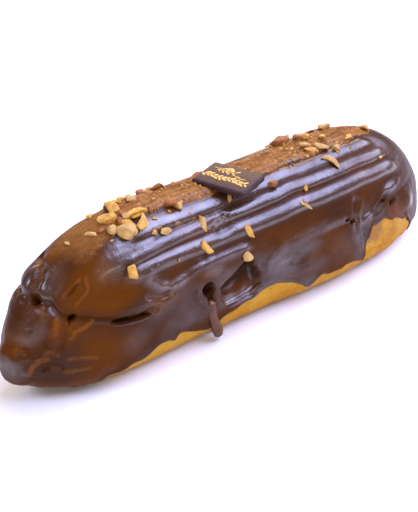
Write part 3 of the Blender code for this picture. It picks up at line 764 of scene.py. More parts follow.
def paint_evenly(thing: bpy.types.Object, masks: dict[str, float]) -> None:
    """Stores the same number on every vertex, for each mask."""
    for name, value in masks.items():
        paint(thing, name, np.full(len(thing.data.vertices), value))


def join_meshes(name: str, parts: Sequence[tuple[Array, Sequence[Sequence[int]]]]) -> bpy.types.Object:
    """One object of several small closed meshes.

    Args:
        name: name of the object.
        parts: (points, faces) of each mesh.

    Returns:
        The linked object.
    """
    points: list[Array] = []
    faces: list[tuple[int, ...]] = []
    start = 0
    for part_points, part_faces in parts:
        points.append(part_points)
        faces += [tuple(start + corner for corner in face) for face in part_faces]
        start += len(part_points)
    return make_mesh(name, np.concatenate(points), faces)


# --- Shader maths ---


class Bench:
    """Adds nodes to one material."""

    def __init__(self, name: str) -> None:
        """Makes an empty material with an output.

        Args:
            name: name of the material.
        """
        self.material = bpy.data.materials.new(name)
        self.material.use_nodes = True
        self.tree = self.material.node_tree
        self.tree.nodes.clear()
        self.output = self.tree.nodes.new("ShaderNodeOutputMaterial")

    def node(self, kind: str, settings: dict[str, Any] | None = None,
             inputs: dict[Any, Any] | None = None) -> bpy.types.Node:
        """Adds a node.

        Args:
            kind: type of the node, without its prefix ShaderNode.
            settings: its settings, which are set first; `stops` fills a ramp.
            inputs: values or links of its sockets, by name or number.

        Returns:
            The node.
        """
        node = self.tree.nodes.new("ShaderNode" + kind)
        for key, value in (settings or {}).items():
            if key == "stops":
                self._fill_ramp(node, value)
            else:
                setattr(node, key, value)
        for key, value in (inputs or {}).items():
            socket = node.inputs[key]
            if isinstance(value, Shade):
                self.tree.links.new(value.socket, socket)
            elif socket.type == "RGBA":
                socket.default_value = (*value, 1.0)
            else:
                socket.default_value = value
        return node

    @staticmethod
    def _fill_ramp(node: bpy.types.Node, stops: Sequence[tuple[float, Colour]]) -> None:
        """Sets a ramp's stops."""
        elements = node.color_ramp.elements
        while len(elements) < len(stops):
            elements.new(0.5)
        for element, (place, colour) in zip(elements, stops):
            element.position = place
            element.color = (*colour, 1.0)

    def place(self) -> Shade:
        """Object coordinates, in metres."""
        return Shade(self, self.node("TexCoord").outputs["Object"])

    def stored(self, name: str) -> Shade:
        """A number stored on the vertices."""
        return Shade(self, self.node("Attribute", {"attribute_name": name}).outputs["Fac"])

    def noise(self, size: float, detail: float, roughness: float, vector: Shade | None = None) -> Shade:
        """Noise between 0 and 1, with lumps of a size in metres."""
        inputs = {"Vector": vector or self.place(), "Scale": 1.0 / size, "Detail": detail,
                  "Roughness": roughness}
        return Shade(self, self.node("TexNoise", {}, inputs).outputs["Fac"])

    def cells(self, size: float) -> Shade:
        """Distance to the nearest of scattered points, in cell sizes."""
        inputs = {"Vector": self.place(), "Scale": 1.0 / size}
        return Shade(self, self.node("TexVoronoi", {}, inputs).outputs["Distance"])

    def stretched(self, scale: tuple[float, float, float],
                  turn: tuple[float, float, float] = (0, 0, 0)) -> Shade:
        """Object coordinates, stretched and turned."""
        inputs = {"Vector": self.place(), "Rotation": turn, "Scale": scale}
        return Shade(self, self.node("Mapping", {}, inputs).outputs["Vector"])

    def ease(self, value: Shade, low: float, high: float) -> Shade:
        """0 below low, 1 above high and a smooth ramp between them."""
        inputs = {"Value": value, "From Min": low, "From Max": high}
        node = self.node("MapRange", {"interpolation_type": "SMOOTHSTEP"}, inputs)
        return Shade(self, node.outputs["Result"])

    def blend(self, factor: Any, first: Any, second: Any) -> Shade:
        """A colour between two colours."""
        node = self.node("Mix", {"data_type": "RGBA"}, {0: factor, 6: first, 7: second})
        return Shade(self, node.outputs[2])

    def ramp(self, value: Shade, stops: Sequence[tuple[float, Colour]]) -> Shade:
        """A colour read from a ramp."""
        return Shade(self, self.node("ValToRGB", {"stops": stops}, {"Fac": value}).outputs["Color"])

    def relief(self, height: Shade, distance: float, strength: float = 1.0) -> Shade:
        """A bumped normal from a height between 0 and 1 and its depth in metres."""
        inputs = {"Height": height, "Distance": distance, "Strength": strength}
        return Shade(self, self.node("Bump", {}, inputs).outputs["Normal"])

    def surface(self, inputs: dict[str, Any]) -> bpy.types.Material:
        """Ends the material in a Principled shader with these inputs."""
        shader = self.node("BsdfPrincipled", {}, inputs)
        self.tree.links.new(shader.outputs["BSDF"], self.output.inputs["Surface"])
        return self.material


class Shade:
    """A shader socket that takes part in Python arithmetic."""

    def __init__(self, bench: Bench, socket: bpy.types.NodeSocket) -> None:
        """Wraps a socket of a bench's material."""
        self.bench = bench
        self.socket = socket

    def _math(self, operation: str, first: Any, second: Any) -> Shade:
        """A Math node on two values."""
        node = self.bench.node("Math", {"operation": operation}, {0: first, 1: second})
        return Shade(self.bench, node.outputs["Value"])

    def __add__(self, other: Any) -> Shade:
        """self + other."""
        return self._math("ADD", self, other)

    def __radd__(self, other: Any) -> Shade:
        """other + self."""
        return self._math("ADD", other, self)

    def __sub__(self, other: Any) -> Shade:
        """self - other."""
        return self._math("SUBTRACT", self, other)

    def __rsub__(self, other: Any) -> Shade:
        """other - self."""
        return self._math("SUBTRACT", other, self)

    def __mul__(self, other: Any) -> Shade:
        """self * other."""
        return self._math("MULTIPLY", self, other)

    def __rmul__(self, other: Any) -> Shade:
        """other * self."""
        return self._math("MULTIPLY", other, self)

    def larger(self, other: Any) -> Shade:
        """The larger of two values."""
        return self._math("MAXIMUM", self, other)


# --- Finishes ---


@dataclass(frozen=True)
class ChocolateFinish:
    """Glossy icing: dark on the sides, warm and dull on the crest, dusted near the nuts. The crest's tan and
    the warmer brown are partly painted warm reflection, the orange on folds is painted glints, and the
    openings and pinholes get painted shade.
    """

    dark: Colour = (0.048, 0.0158, 0.0050)
    brown: Colour = (0.098, 0.0262, 0.0012)
    # colour of the painted orange glints of warm light
    glint: Colour = (0.30, 0.095, 0.016)
    caramel: Colour = (0.30, 0.120, 0.024)
    umber: Colour = (0.115, 0.038, 0.008)
    cream: Colour = (0.52, 0.28, 0.09)
    dust: Colour = (0.34, 0.23, 0.20)
    shadow: Colour = (0.020, 0.007, 0.003)
    gloss: float = 0.34
    dull: float = 0.60
    specular: float = 0.06
    glint_share: float = 0.34
    coat_roughness: float = 0.27
    coat_ior: float = 1.9
    relief_depth: float = 0.00035

    def material(self) -> bpy.types.Material:
        """Builds the material, which reads the masks that the icing stores."""
        bench = Bench("chocolate_glaze")
        mottling = bench.noise(0.006, 4.0, 0.6)
        fine = bench.noise(0.0011, 3.0, 0.6)
        brushed = bench.noise(0.0012, 3.0, 0.6, vector=bench.stretched((0.10, 1.0, 1.0)))
        warmth, dusting = bench.stored("warmth"), bench.stored("dusting")
        glow, opening = bench.stored("glow"), bench.stored("opening")
        unrest = 1.0 - bench.stored("calm") * 0.75
        # The crest's tan: partly its own duller, lighter chocolate, partly painted warm reflection.
        noisy = warmth + ((mottling - 0.5) * 0.30 + (fine - 0.5) * 0.30) * unrest
        warm = bench.ease(noisy, 0.30, 0.70)
        # Dark to warmer brown: partly the icing's own uneven tone, partly painted warm reflection.
        base = bench.blend(bench.ease(glow + (mottling - 0.5) * 0.5, 0.10, 0.95), self.dark, self.brown)
        # Painted glints: orange highlights of warm light painted into the colour on folds and torn rims.
        glinting = bench.ease(bench.stored("glinting") + (fine - 0.5) * 1.1, 0.35, 1.25)
        base = bench.blend(glinting * self.glint_share, base, self.glint)
        strokes = (brushed * 0.40 + mottling * 0.25 + fine * 0.35) - 0.48
        streaks = bench.ease(strokes * unrest + 0.47, 0.38, 0.58)
        tan = bench.blend(streaks, self.umber, self.caramel)
        flecks = bench.ease(bench.noise(0.0016, 4.0, 0.7), 0.56, 0.70)
        tan = bench.blend(flecks * unrest * 0.7, tan, self.cream)
        base = bench.blend(warm, base, tan)
        specks = bench.ease(bench.noise(0.0007, 2.0, 0.7), 0.60, 0.72)
        haze = bench.ease(dusting + (fine - 0.5) * 0.9, 0.55, 1.05)
        base = bench.blend((haze * 0.5).larger(specks * dusting * 0.7), base, self.dust)
        base = bench.blend(bench.ease(opening, 0.30, 0.95) * 0.85, base, self.shadow)
        pinholes = bench.ease(bench.cells(0.0030), 0.100, 0.150)
        shiny = bench.ease(bench.stored("shine"), 0.10, 0.50)
        base = bench.blend((1.0 - pinholes) * shiny * 0.8, base, self.shadow)
        roughness = self.gloss + warm * (self.dull - self.gloss) + haze * 0.2
        height = fine * 0.30 + mottling * 0.25 + brushed * 0.30 + pinholes * 0.4
        normal = bench.relief(height + warm * bench.noise(0.0016, 3.0, 0.7) * 1.6, self.relief_depth, 0.7)
        coat = bench.stored("shine") * (1.0 + (mottling - 0.5) * 1.5 + (brushed - 0.5) * 0.9)
        return bench.surface({"Base Color": base, "Roughness": roughness, "Normal": normal,
                              "Specular IOR Level": self.specular, "Coat Weight": coat * (1.0 - warm * 0.85),
                              "Coat Roughness": self.coat_roughness, "Coat IOR": self.coat_ior,
                              "Coat Normal": normal})


@dataclass(frozen=True)
class ChouxFinish:
    """Baked crust: golden, deeper at the foot, with fine wrinkles and freckles."""

    pale: Colour = (0.50, 0.270, 0.032)
    golden: Colour = (0.445, 0.195, 0.012)
    deep: Colour = (0.27, 0.085, 0.008)
    smear: Colour = (0.27, 0.115, 0.032)
    roughness: float = 0.52
    specular: float = 0.06

    def material(self) -> bpy.types.Material:
        """Builds the material, which reads `bake` and `smear`."""
        bench = Bench("baked_choux")
        cloud = bench.noise(0.005, 4.0, 0.6)
        fine = bench.noise(0.0009, 3.0, 0.65)
        bake = bench.stored("bake") + (cloud - 0.5) * 0.9 + (fine - 0.5) * 0.55
        base = bench.ramp(bake, ((0.1, self.pale), (0.5, self.golden), (0.95, self.deep)))
        freckles = bench.ease(bench.cells(0.0035), 0.08, 0.14)
        base = bench.blend((1.0 - freckles) * 0.45, base, self.deep)
        smear = bench.ease(bench.stored("smear") + (cloud - 0.5) * 0.9 + (fine - 0.5) * 0.5, 0.35, 0.85)
        base = bench.blend(smear * 0.85, base, self.smear)
        height = fine * 0.7 + bench.noise(0.0022, 4.0, 0.6) * 0.9
        return bench.surface({"Base Color": base, "Roughness": self.roughness + (fine - 0.5) * 0.2,
                              "Specular IOR Level": self.specular,
                              "Normal": bench.relief(height, 0.0004, 0.8)})


@dataclass(frozen=True)
class NutFinish:
    """Chopped hazelnut of one roast: pale flesh mottled and grained with a darker tone."""

    name: str
    flesh: Colour
    edge: Colour
    roughness: float = 0.45
    specular: float = 0.3

    def material(self) -> bpy.types.Material:
        """Builds the material, or finds it where crumbs share it with whole pieces."""
        known = bpy.data.materials.get(self.name)
        if known:
            return known
        bench = Bench(self.name)
        cloud = bench.noise(0.0016, 4.0, 0.6)
        grain = bench.noise(0.0004, 2.0, 0.6, vector=bench.stretched((1.0, 2.6, 1.0), (0.4, 0.7, 0.3)))
        rough = bench.noise(0.0006, 4.0, 0.7)
        base = bench.blend(bench.ease(cloud * 0.6 + rough * 0.4, 0.42, 0.66), self.flesh, self.edge)
        base = bench.blend(bench.ease(grain, 0.55, 0.75) * 0.35, base, self.edge)
        return bench.surface({"Base Color": base, "Roughness": self.roughness,
                              "Specular IOR Level": self.specular,
                              "Normal": bench.relief(cloud + rough + grain * 0.4, 0.00040, 0.8)})


@dataclass(frozen=True)
class PlaqueFinish:
    """Moulded dark chocolate with a faint bloom."""

    dark: Colour = (0.034, 0.0125, 0.0120)
    bloom: Colour = (0.062, 0.027, 0.027)
    specular: float = 0.14

    def material(self) -> bpy.types.Material:
        """Builds the material."""
        bench = Bench("moulded_chocolate")
        cloud = bench.noise(0.004, 4.0, 0.6)
        fine = bench.noise(0.0007, 3.0, 0.6)
        base = bench.blend(bench.ease(cloud + (fine - 0.5) * 0.4, 0.35, 0.8), self.dark, self.bloom)
        return bench.surface({"Base Color": base, "Roughness": 0.40 + (cloud - 0.5) * 0.15,
                              "Specular IOR Level": self.specular,
                              "Normal": bench.relief(fine + cloud, 0.0002, 0.6)})


@dataclass(frozen=True)
class GiltFinish:
    """Gold colour printed on chocolate, worn thin in places."""

    gold: Colour = (0.82, 0.50, 0.10)
    worn: Colour = (0.42, 0.24, 0.07)
    metallic: float = 0.25

    def material(self) -> bpy.types.Material:
        """Builds the material."""
        bench = Bench("gold_print")
        wear = bench.noise(0.0009, 4.0, 0.7)
        base = bench.blend(bench.ease(wear, 0.45, 0.68), self.gold, self.worn)
        return bench.surface({"Base Color": base, "Roughness": 0.42 + (wear - 0.5) * 0.2,
                              "Metallic": self.metallic, "Normal": bench.relief(wear, 0.0001, 0.5)})


@dataclass(frozen=True)
class FloorFinish:
    """Plain pale table top."""

    tone: Colour = (0.88, 0.86, 0.80)
    shade: Colour = (0.84, 0.82, 0.77)
    roughness: float = 0.75

    def material(self) -> bpy.types.Material:
        """Builds the material."""
        bench = Bench("pale_table")
        cloud = bench.noise(0.25, 2.0, 0.5)
        base = bench.blend(cloud * 0.15, self.tone, self.shade)
        return bench.surface({"Base Color": base, "Roughness": self.roughness})


# --- Sub-assemblies ---


@dataclass
class ChocolateIcing:
    """The skin of icing from its hem to the crest, with its ridges, crease and pocket."""

    form: PastryForm
    hem: Hem
    relief: IcingRelief
    hem_thickness: float = 0.0009
    full_thickness: float = 0.0024
    thickening_rise: float = 0.008
    lip_width: float = 0.0009
    floor_clearance: float = 0.0005
    fine_stretch: tuple[float, float] = (-0.074, 0.068)
    fine_step: float = 0.00056
    coarse_step: float = 0.0011
    skirt_rows: int = 76
    crown_rows: int = 76
    skirt_top: float = 0.0275
    inner_step: int = 9
    inner_crown_step: int = 38
    inner_margin: float = 0.0002
    hem_bead: float = 0.00025
    crest_margin: float = 0.00004

    # Lower edge of the crest's tan, and a tan strip below it: partly their own colour, partly painted warm
    # reflection.
    TAN_EDGE = (
        (-0.1000, 0.0405), (-0.0870, 0.0412), (-0.0764, 0.0412), (-0.0686, 0.0406), (-0.0627, 0.0412),
        (-0.0576, 0.0436), (-0.0500, 0.0478), (-0.0420, 0.0494), (-0.0330, 0.0502), (-0.0218, 0.0488),
        (0.0157, 0.0498), (0.0360, 0.0497), (0.0600, 0.0484), (0.0750, 0.0462),
    )
    TAN_STRIP = Fold(((-0.0365, 0.0432), (-0.0310, 0.0428), (-0.0252, 0.0426), (-0.0200, 0.0424)),
                     0.62, 0.0008)
    LIP_SHINE = Fold(LIP_LINE, 1.0, 0.0017)
    RAGGEDNESS = 0.0010              # how far the tan edge wanders
    RIDGE_SHINE = 0.74
    DOME_DULLING = 0.86
    END_DULLING = 0.95

    def thickness(self, around: Array, rise: Array) -> Array:
        """Depth of the inner face under the form."""
        above = rise - self.hem.rise(self.form.wrapped(around))
        grown = self.full_thickness - self.hem_thickness
        return self.hem_thickness + grown * smooth_step(0.0, self.thickening_rise, above)

    def inner_offset(self, around: Array, rise: Array) -> Array:
        """Offset of the inner face from the form, below every hole of the outer one."""
        above = rise - self.hem.rise(self.form.wrapped(around))
        deep = smooth_step(0.0006, 0.0015, above) * np.minimum(self.relief.height(around, rise), 0.0)
        return -self.thickness(around, rise) + np.minimum(deep + self.inner_margin, 0.0)

    def outer_point(self, around: Array, rise: Array) -> Array:
        """A point of the outer face, with its relief and the rounded lip at the hem."""
        above = rise - self.hem.rise(self.form.wrapped(around))
        near = np.clip(1.0 - above / self.lip_width, 0.0, 1.0)
        lip = self.hem_thickness * (1.0 - np.sqrt(np.clip(1.0 - near**2, 0.0, 1.0)))
        height = self.relief.height(around, rise) * (1.0 - near) - lip
        height = height + self.hem_bead * bump(above, 0.0011, 0.0009)
        points = self.form.shifted(around, rise, height)
        points[..., 2] = np.maximum(points[..., 2], self.floor_clearance)
        return points

    def rows(self, columns: Array) -> list[Array]:
        """Rises of the outer face's rows at each column."""
        hem = self.hem.rise(self.form.wrapped(columns))
        crest = self.form.crest_rise - self.crest_margin
        shares = np.linspace(0.0, 1.0, self.skirt_rows + 1) ** 1.15
        rows = [hem + (self.skirt_top - hem) * share for share in shares]
        upper = np.linspace(self.skirt_top, crest, self.crown_rows + 1)[1:]
        return rows + [np.full_like(columns, rise) for rise in upper]

    def build(self) -> bpy.types.Object:
        """Builds, paints and attaches the icing to the root body.

        Returns:
            The icing's object.
        """
        columns = self.form.columns(self.fine_stretch, self.fine_step, self.coarse_step)
        rises = np.array(self.rows(columns))
        around = np.broadcast_to(columns, rises.shape)
        outer = self.outer_point(around, rises)
        inner_rises = np.concatenate([rises[: self.skirt_rows : self.inner_step],
                                      rises[self.skirt_rows :: self.inner_crown_step]])
        inner_around = np.broadcast_to(columns, inner_rises.shape)
        inner = self.form.shifted(inner_around, inner_rises, self.inner_offset(inner_around, inner_rises))
        inner[..., 2] = np.maximum(inner[..., 2], self.floor_clearance)

        count = len(columns)
        faces = ring_faces(len(outer), count, True)
        back = ring_faces(len(inner), count, True)[:, ::-1] + outer.shape[0] * count
        here = np.arange(count)
        after = (here + 1) % count
        start = outer.shape[0] * count
        edge = np.stack([start + here, start + after, after, here], axis=-1)
        points = np.concatenate([outer.reshape(-1, 3), inner.reshape(-1, 3)])
        icing = make_mesh("glossy_icing", points, np.concatenate([faces, back, edge]))
        self._paint(icing, around, rises, inner.size // 3)
        icing.data.materials.append(ChocolateFinish().material())
        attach(icing, "root")
        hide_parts("chocolate_icing")
        return icing

    def _paint(self, icing: bpy.types.Object, around: Array, rises: Array, inner_count: int) -> None:
        """Stores the masks that the chocolate's finish reads."""
        place = self.form.wrapped(around)
        front, _ = self.form.fold(place)
        where = self.form.point(place, rises)
        relief, sheen = self.relief, Sheen()
        cloud = relief.noise.at(where, 0.012)
        edge = np.interp(front, *zip(*self.TAN_EDGE))
        ragged = rises + self.RAGGEDNESS * relief.noise.at(where, 0.005)
        ragged = ragged + self.RAGGEDNESS * relief.grain.layered(where, 0.0022, 3)
        calm = 1.0 - smooth_step(-0.068, -0.054, front)
        softness = 1.0 + 3.6 * calm
        # Tan crest: partly its own colour, partly painted warm reflection.
        warmth = smooth_step(edge - 0.0016 * softness, edge + 0.0019 * softness, ragged)
        strip = self.TAN_STRIP.cover(place, ragged) + 0.5 * relief.grain.at(where, 0.0016)
        patchy = smooth_step(-0.9, 0.5, relief.grain.at(where, 0.0024))
        warmth = np.maximum(warmth, self.TAN_STRIP.height * strip * patchy)
        # Warmer brown: partly the icing's own uneven tone, partly painted warm reflection; painted lighter on
        # the low skirt.
        glow = Sheen.cover(sheen.brown, place, rises) + 0.25 + 0.25 * relief.noise.at(where, 0.009)
        tops = smooth_step(0.28, 0.58, relief.ridge_tops(around, rises))
        skirt = 1.0 - smooth_step(0.0255, 0.0300, rises)
        dome = 1.0 - smooth_step(-0.052, -0.038, front)
        patches = relief.grain.layered(where, (0.0130, 0.0130, 0.0065), 3) * skirt
        ridge_shine = self.RIDGE_SHINE * tops * smooth_step(0.0290, 0.0345, rises)
        shine = 0.02 + (0.12 + 0.85 * patches) * skirt + ridge_shine
        shine = shine * (1.0 - self.DOME_DULLING * dome) * (1.0 - 0.6 * dome * np.clip(glow, 0.0, 1.0))
        shine = shine * (1.0 - 0.45 * skirt * window(place, -0.062, -0.026, 0.010))
        end = smooth_step(0.030, 0.046, place) * (1.0 - smooth_step(0.072, 0.090, place))
        shine = shine * (1.0 - self.END_DULLING * end * (1.0 - tops))
        broken = 0.55 + 0.55 * relief.grain.at(where, 0.0032) + 0.5 * bump(place, -0.0335, 0.0050)
        shine = np.maximum(shine, np.clip(broken, 0.0, 1.0) * self.LIP_SHINE.cover(place, rises))
        shine = np.maximum(shine, Sheen.cover(sheen.shine, place, rises)) + 0.03 * cloud
        for band in sheen.BANDS:
            shine = np.maximum(shine, band.height * band.cover(place, rises))
        shine = shine * (1.0 - smooth_step(0.15, 0.65, relief.openings(around, rises)))
        shine = np.maximum(shine, Sheen.cover(sheen.pools, place, rises))
        near_nuts = bump(front, -0.030, 0.016) * smooth_step(0.038, 0.045, rises)
        near_nuts = np.maximum(near_nuts, 0.7 * bump(front, 0.028, 0.014) * smooth_step(0.047, 0.051, rises))
        scuff = bump(place, -0.0145, 0.0060) * bump(rises, 0.0392, 0.0030)
        glow = glow - 0.45 * patches + 0.12 * skirt
        torn = relief.pocket(place, rises)
        # In the pocket the brown is painted streaky, partly as warm light on its walls.
        pocket_painted_glow = 0.55 + 0.55 * relief.grain.layered(where, (0.0022, 0.0022, 0.0050), 2)
        glow = glow * (1.0 - torn) + torn * pocket_painted_glow
        masks = {"warmth": warmth * (1.0 - 0.25 * calm), "calm": calm,
                 "glow": np.clip(glow, 0.0, 1.0), "shine": np.clip(shine, 0.0, 1.0),
                 "dusting": np.maximum(0.6 * near_nuts, 0.9 * scuff),
                 "opening": relief.openings(around, rises),
                 # painted glints of warm light on the folds and on the torn rims
                 "glinting": np.maximum(relief.glints(around, rises), 0.8 * relief.torn_rim(around, rises))}
        for name, values in masks.items():
            paint(icing, name, np.concatenate([values.ravel(), np.zeros(inner_count)]))


@dataclass
class IcingDrip:
    """The strand of icing that runs out of the pocket and hangs over the hem."""

    form: PastryForm
    stations: tuple[tuple[float, float, float, float], ...] = (
        (-0.0213, 0.0182, 0.0010, -0.0012), (-0.0214, 0.0172, 0.0015, -0.0006),
        (-0.0216, 0.0156, 0.0014, -0.0003), (-0.0217, 0.0134, 0.0013, 0.0000),
        (-0.0215, 0.0114, 0.0014, 0.0004), (-0.0211, 0.0098, 0.0016, 0.0009),
        (-0.0207, 0.0084, 0.0017, 0.0013), (-0.0204, 0.0073, 0.0015, 0.0016),
        (-0.0202, 0.0066, 0.0010, 0.0018),
    )
    flatness: float = 0.65
    sides: int = 28
    steps: int = 60

    def build(self) -> bpy.types.Object:
        """Builds and attaches the drip to the root body."""
        track = np.array(self.stations)
        walk = np.linspace(0.0, len(track) - 1.0, self.steps)
        around, rise, radius, lift = (np.interp(walk, range(len(track)), column) for column in track.T)
        share = np.linspace(-1.0, 1.0, self.steps)
        radius = radius * np.clip(1.0 - np.abs(share) ** 14, 0.0, 1.0) ** 0.5
        radius = radius * (1.0 + 0.05 * np.sin(walk * 2.7))
        centre = self.form.shifted(around, rise, lift)
        normal = self.form.normal(around, rise)
        along = self.form.point(around + 0.0005, rise) - self.form.point(around - 0.0005, rise)
        along = along / np.linalg.norm(along, axis=-1, keepdims=True)
        angle = np.linspace(0.0, 2 * math.pi, self.sides, endpoint=False)[None, :, None]
        reach = along[:, None] * np.cos(angle) + self.flatness * normal[:, None] * np.sin(angle)
        rings = centre[:, None] + radius[:, None, None] * reach
        drip = capped_tube("icing_drip", rings)
        # Mostly the warmer brown with its painted warm reflection, and some coat.
        paint_evenly(drip, {"glow": 0.85, "shine": 0.30, "glinting": 0.0, "warmth": 0.0, "dusting": 0.0,
                            "opening": 0.0})
        drip.data.materials.append(bpy.data.materials["chocolate_glaze"])
        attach(drip, "root")
        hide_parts("chocolate_icing")
        return drip


@dataclass
class IcingSmear:
    """The rough lump of icing pressed up over the plaque's corner."""

    form: PastryForm
    relief: IcingRelief
    centre: tuple[float, float, float] = (-0.0102, 0.0012, 0.0393)
    reach: tuple[float, float, float] = (0.0044, 0.0030, 0.0016)
    turn: float = math.radians(20)
    sides: int = 48
    rings: int = 24

    def build(self) -> bpy.types.Object:
        """Builds and attaches the lump to the root body."""
        polar = np.linspace(0.0, math.pi, self.rings + 2)[1:-1, None]
        angle = np.linspace(0.0, 2 * math.pi, self.sides, endpoint=False)[None, :]
        ball = np.stack([np.sin(polar) * np.cos(angle), np.sin(polar) * np.sin(angle),
                         -np.cos(polar) * np.ones_like(angle)], axis=-1)
        swell = 1.0 + 0.35 * self.relief.grain.layered(ball * 0.0030, 0.0022, 3)
        points = ball * swell[..., None] * np.array(self.reach)
        spin = np.array(Matrix.Rotation(self.turn, 3, "Z"))
        points = points @ spin.T + np.array(self.centre) + np.array([*self.form.shift, 0.0])
        lump = capped_tube("icing_smear", points)
        # Half the warmer brown with painted warm reflection, and the crest's tan with its painted warm
        # reflection.
        paint_evenly(lump, {"glow": 0.5, "shine": 0.05, "glinting": 0.0, "warmth": 1.0, "dusting": 0.55,
                            "opening": 0.0})
        lump.data.materials.append(bpy.data.materials["chocolate_glaze"])
        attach(lump, "root")
        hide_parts("chocolate_icing")
        return lump


@dataclass
class ChouxBun:
    """The baked bun: a bare crust band below the hem, and a plain bed under the icing."""

    form: PastryForm
    hem: Hem
    icing: ChocolateIcing
    clearance: float = 0.0003
    crust_sink: float = 0.0004
    bed_depth: float = 0.0028
    band_rows: int = 44
    under_lip: float = 0.0013
    ledge: Fold = Fold(((0.0333, 0.0108), (0.0378, 0.0117), (0.0462, 0.0101), (0.0562, 0.0084)),
                       0.0007, 0.0007)
    fine_stretch: tuple[float, float] = (-0.066, 0.072)
    fine_step: float = 0.0007
    coarse_step: float = 0.0014
    bed_rises: tuple[float, ...] = (0.0235, 0.0325, 0.0405, 0.0485)
    crest_margin: float = 0.0012

    def build(self) -> bpy.types.Object:
        """Builds, paints and attaches the bun to the root body."""
        columns = self.form.columns(self.fine_stretch, self.fine_step, self.coarse_step)
        hem = self.hem.rise(self.form.wrapped(columns))
        shares = np.linspace(0.0, 1.0, self.band_rows + 1)
        band = np.array([(hem + self.under_lip) * share for share in shares])
        top = self.form.crest_rise - self.crest_margin
        bed = np.array([np.full_like(columns, rise) for rise in (*self.bed_rises, top)])
        rises = np.concatenate([band, bed])
        around = np.broadcast_to(columns, rises.shape)
        above = rises - hem
        covered = (self.icing.inner_offset(around, rises) - self.clearance
                   - self.bed_depth * smooth_step(0.0015, 0.0030, above))
        bare_share = smooth_step(0.0040, 0.0070, hem) * np.ones_like(rises)
        crust = -self.crust_sink + self._crust_relief(around, rises)
        bare = (self.icing.hem_thickness + self.clearance) * (bare_share - 1.0) + crust * bare_share
        height = bare + (covered - bare) * smooth_step(self.under_lip * 0.3, self.under_lip * 0.75, above)
        points = self.form.shifted(around, rises, height)
        points[0, :, 2] = 0.0
        points[..., 2] = np.maximum(points[..., 2], 0.0)
        count = len(columns)
        faces = [tuple(face) for face in ring_faces(len(points), count, True)]
        faces.append(tuple(range(count)))
        bun = make_mesh("golden_bun", points.reshape(-1, 3), faces)
        where = self.form.point(around, rises)
        place = self.form.wrapped(around)
        # Darker towards the foot of the band, with random tone on top.
        bake = np.clip(1.0 - rises / np.maximum(hem + 0.002, 0.006), 0.0, 1.0) * 0.75
        bake = bake + 0.15 * self.icing.relief.noise.at(where, 0.008)
        smear = 0.95 * bump(place, 0.0385, 0.0060) * bump(rises, 0.0178, 0.0048)
        bare_patch = window(place, 0.034, 0.060, 0.004) * smooth_step(0.0110, 0.0150, rises)
        smear = np.maximum(smear, 0.50 * bare_patch)
        paint(bun, "bake", np.clip(bake + 0.1, 0.0, 1.0))
        paint(bun, "smear", smear)
        bun.data.materials.append(ChouxFinish().material())
        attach(bun, "root")
        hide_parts("choux_bun")
        return bun

    def _crust_relief(self, around: Array, rises: Array) -> Array:
        """Wrinkles and lumps of the bare crust."""
        where = self.form.point(around, rises)
        place = self.form.wrapped(around)
        lumps = self.icing.relief.noise.layered(where, 0.006, 3) * 0.00034
        wrinkles = self.icing.relief.grain.layered(where, (0.008, 0.008, 0.0014), 2) * 0.00020
        return lumps + wrinkles - self.ledge.height * self.ledge.cover(place, rises)


class NutKind(Enum):
    """Roasts of the chopped hazelnuts."""

    PALE = NutFinish("hazelnut_pale", (0.57, 0.350, 0.108), (0.40, 0.19, 0.045))
    GOLDEN = NutFinish("hazelnut_golden", (0.66, 0.365, 0.060), (0.42, 0.17, 0.022))
    TOASTED = NutFinish("hazelnut_toasted", (0.34, 0.115, 0.018), (0.16, 0.045, 0.008))
    SKIN = NutFinish("hazelnut_skin", (0.17, 0.045, 0.014), (0.08, 0.020, 0.008), 0.5)


class NutShape(Enum):
    """Shapes of the pieces: corner draws, flatness and bend."""

    CHUNK = (12, 0.75, 0.0)
    SHARD = (10, 0.50, 0.0)
    BALL = (26, 0.90, 0.0)
    LUMP = (22, 0.80, 0.0)
    CURL = (14, 0.60, 0.9)


@dataclass(frozen=True)
class NutPiece:
    """One piece of nut: its place, its size, its turn from the outline's direction, kind and shape."""

    around: float
    rise: float
    length: float
    width: float
    turn: float
    kind: NutKind
    shape: NutShape = NutShape.CHUNK


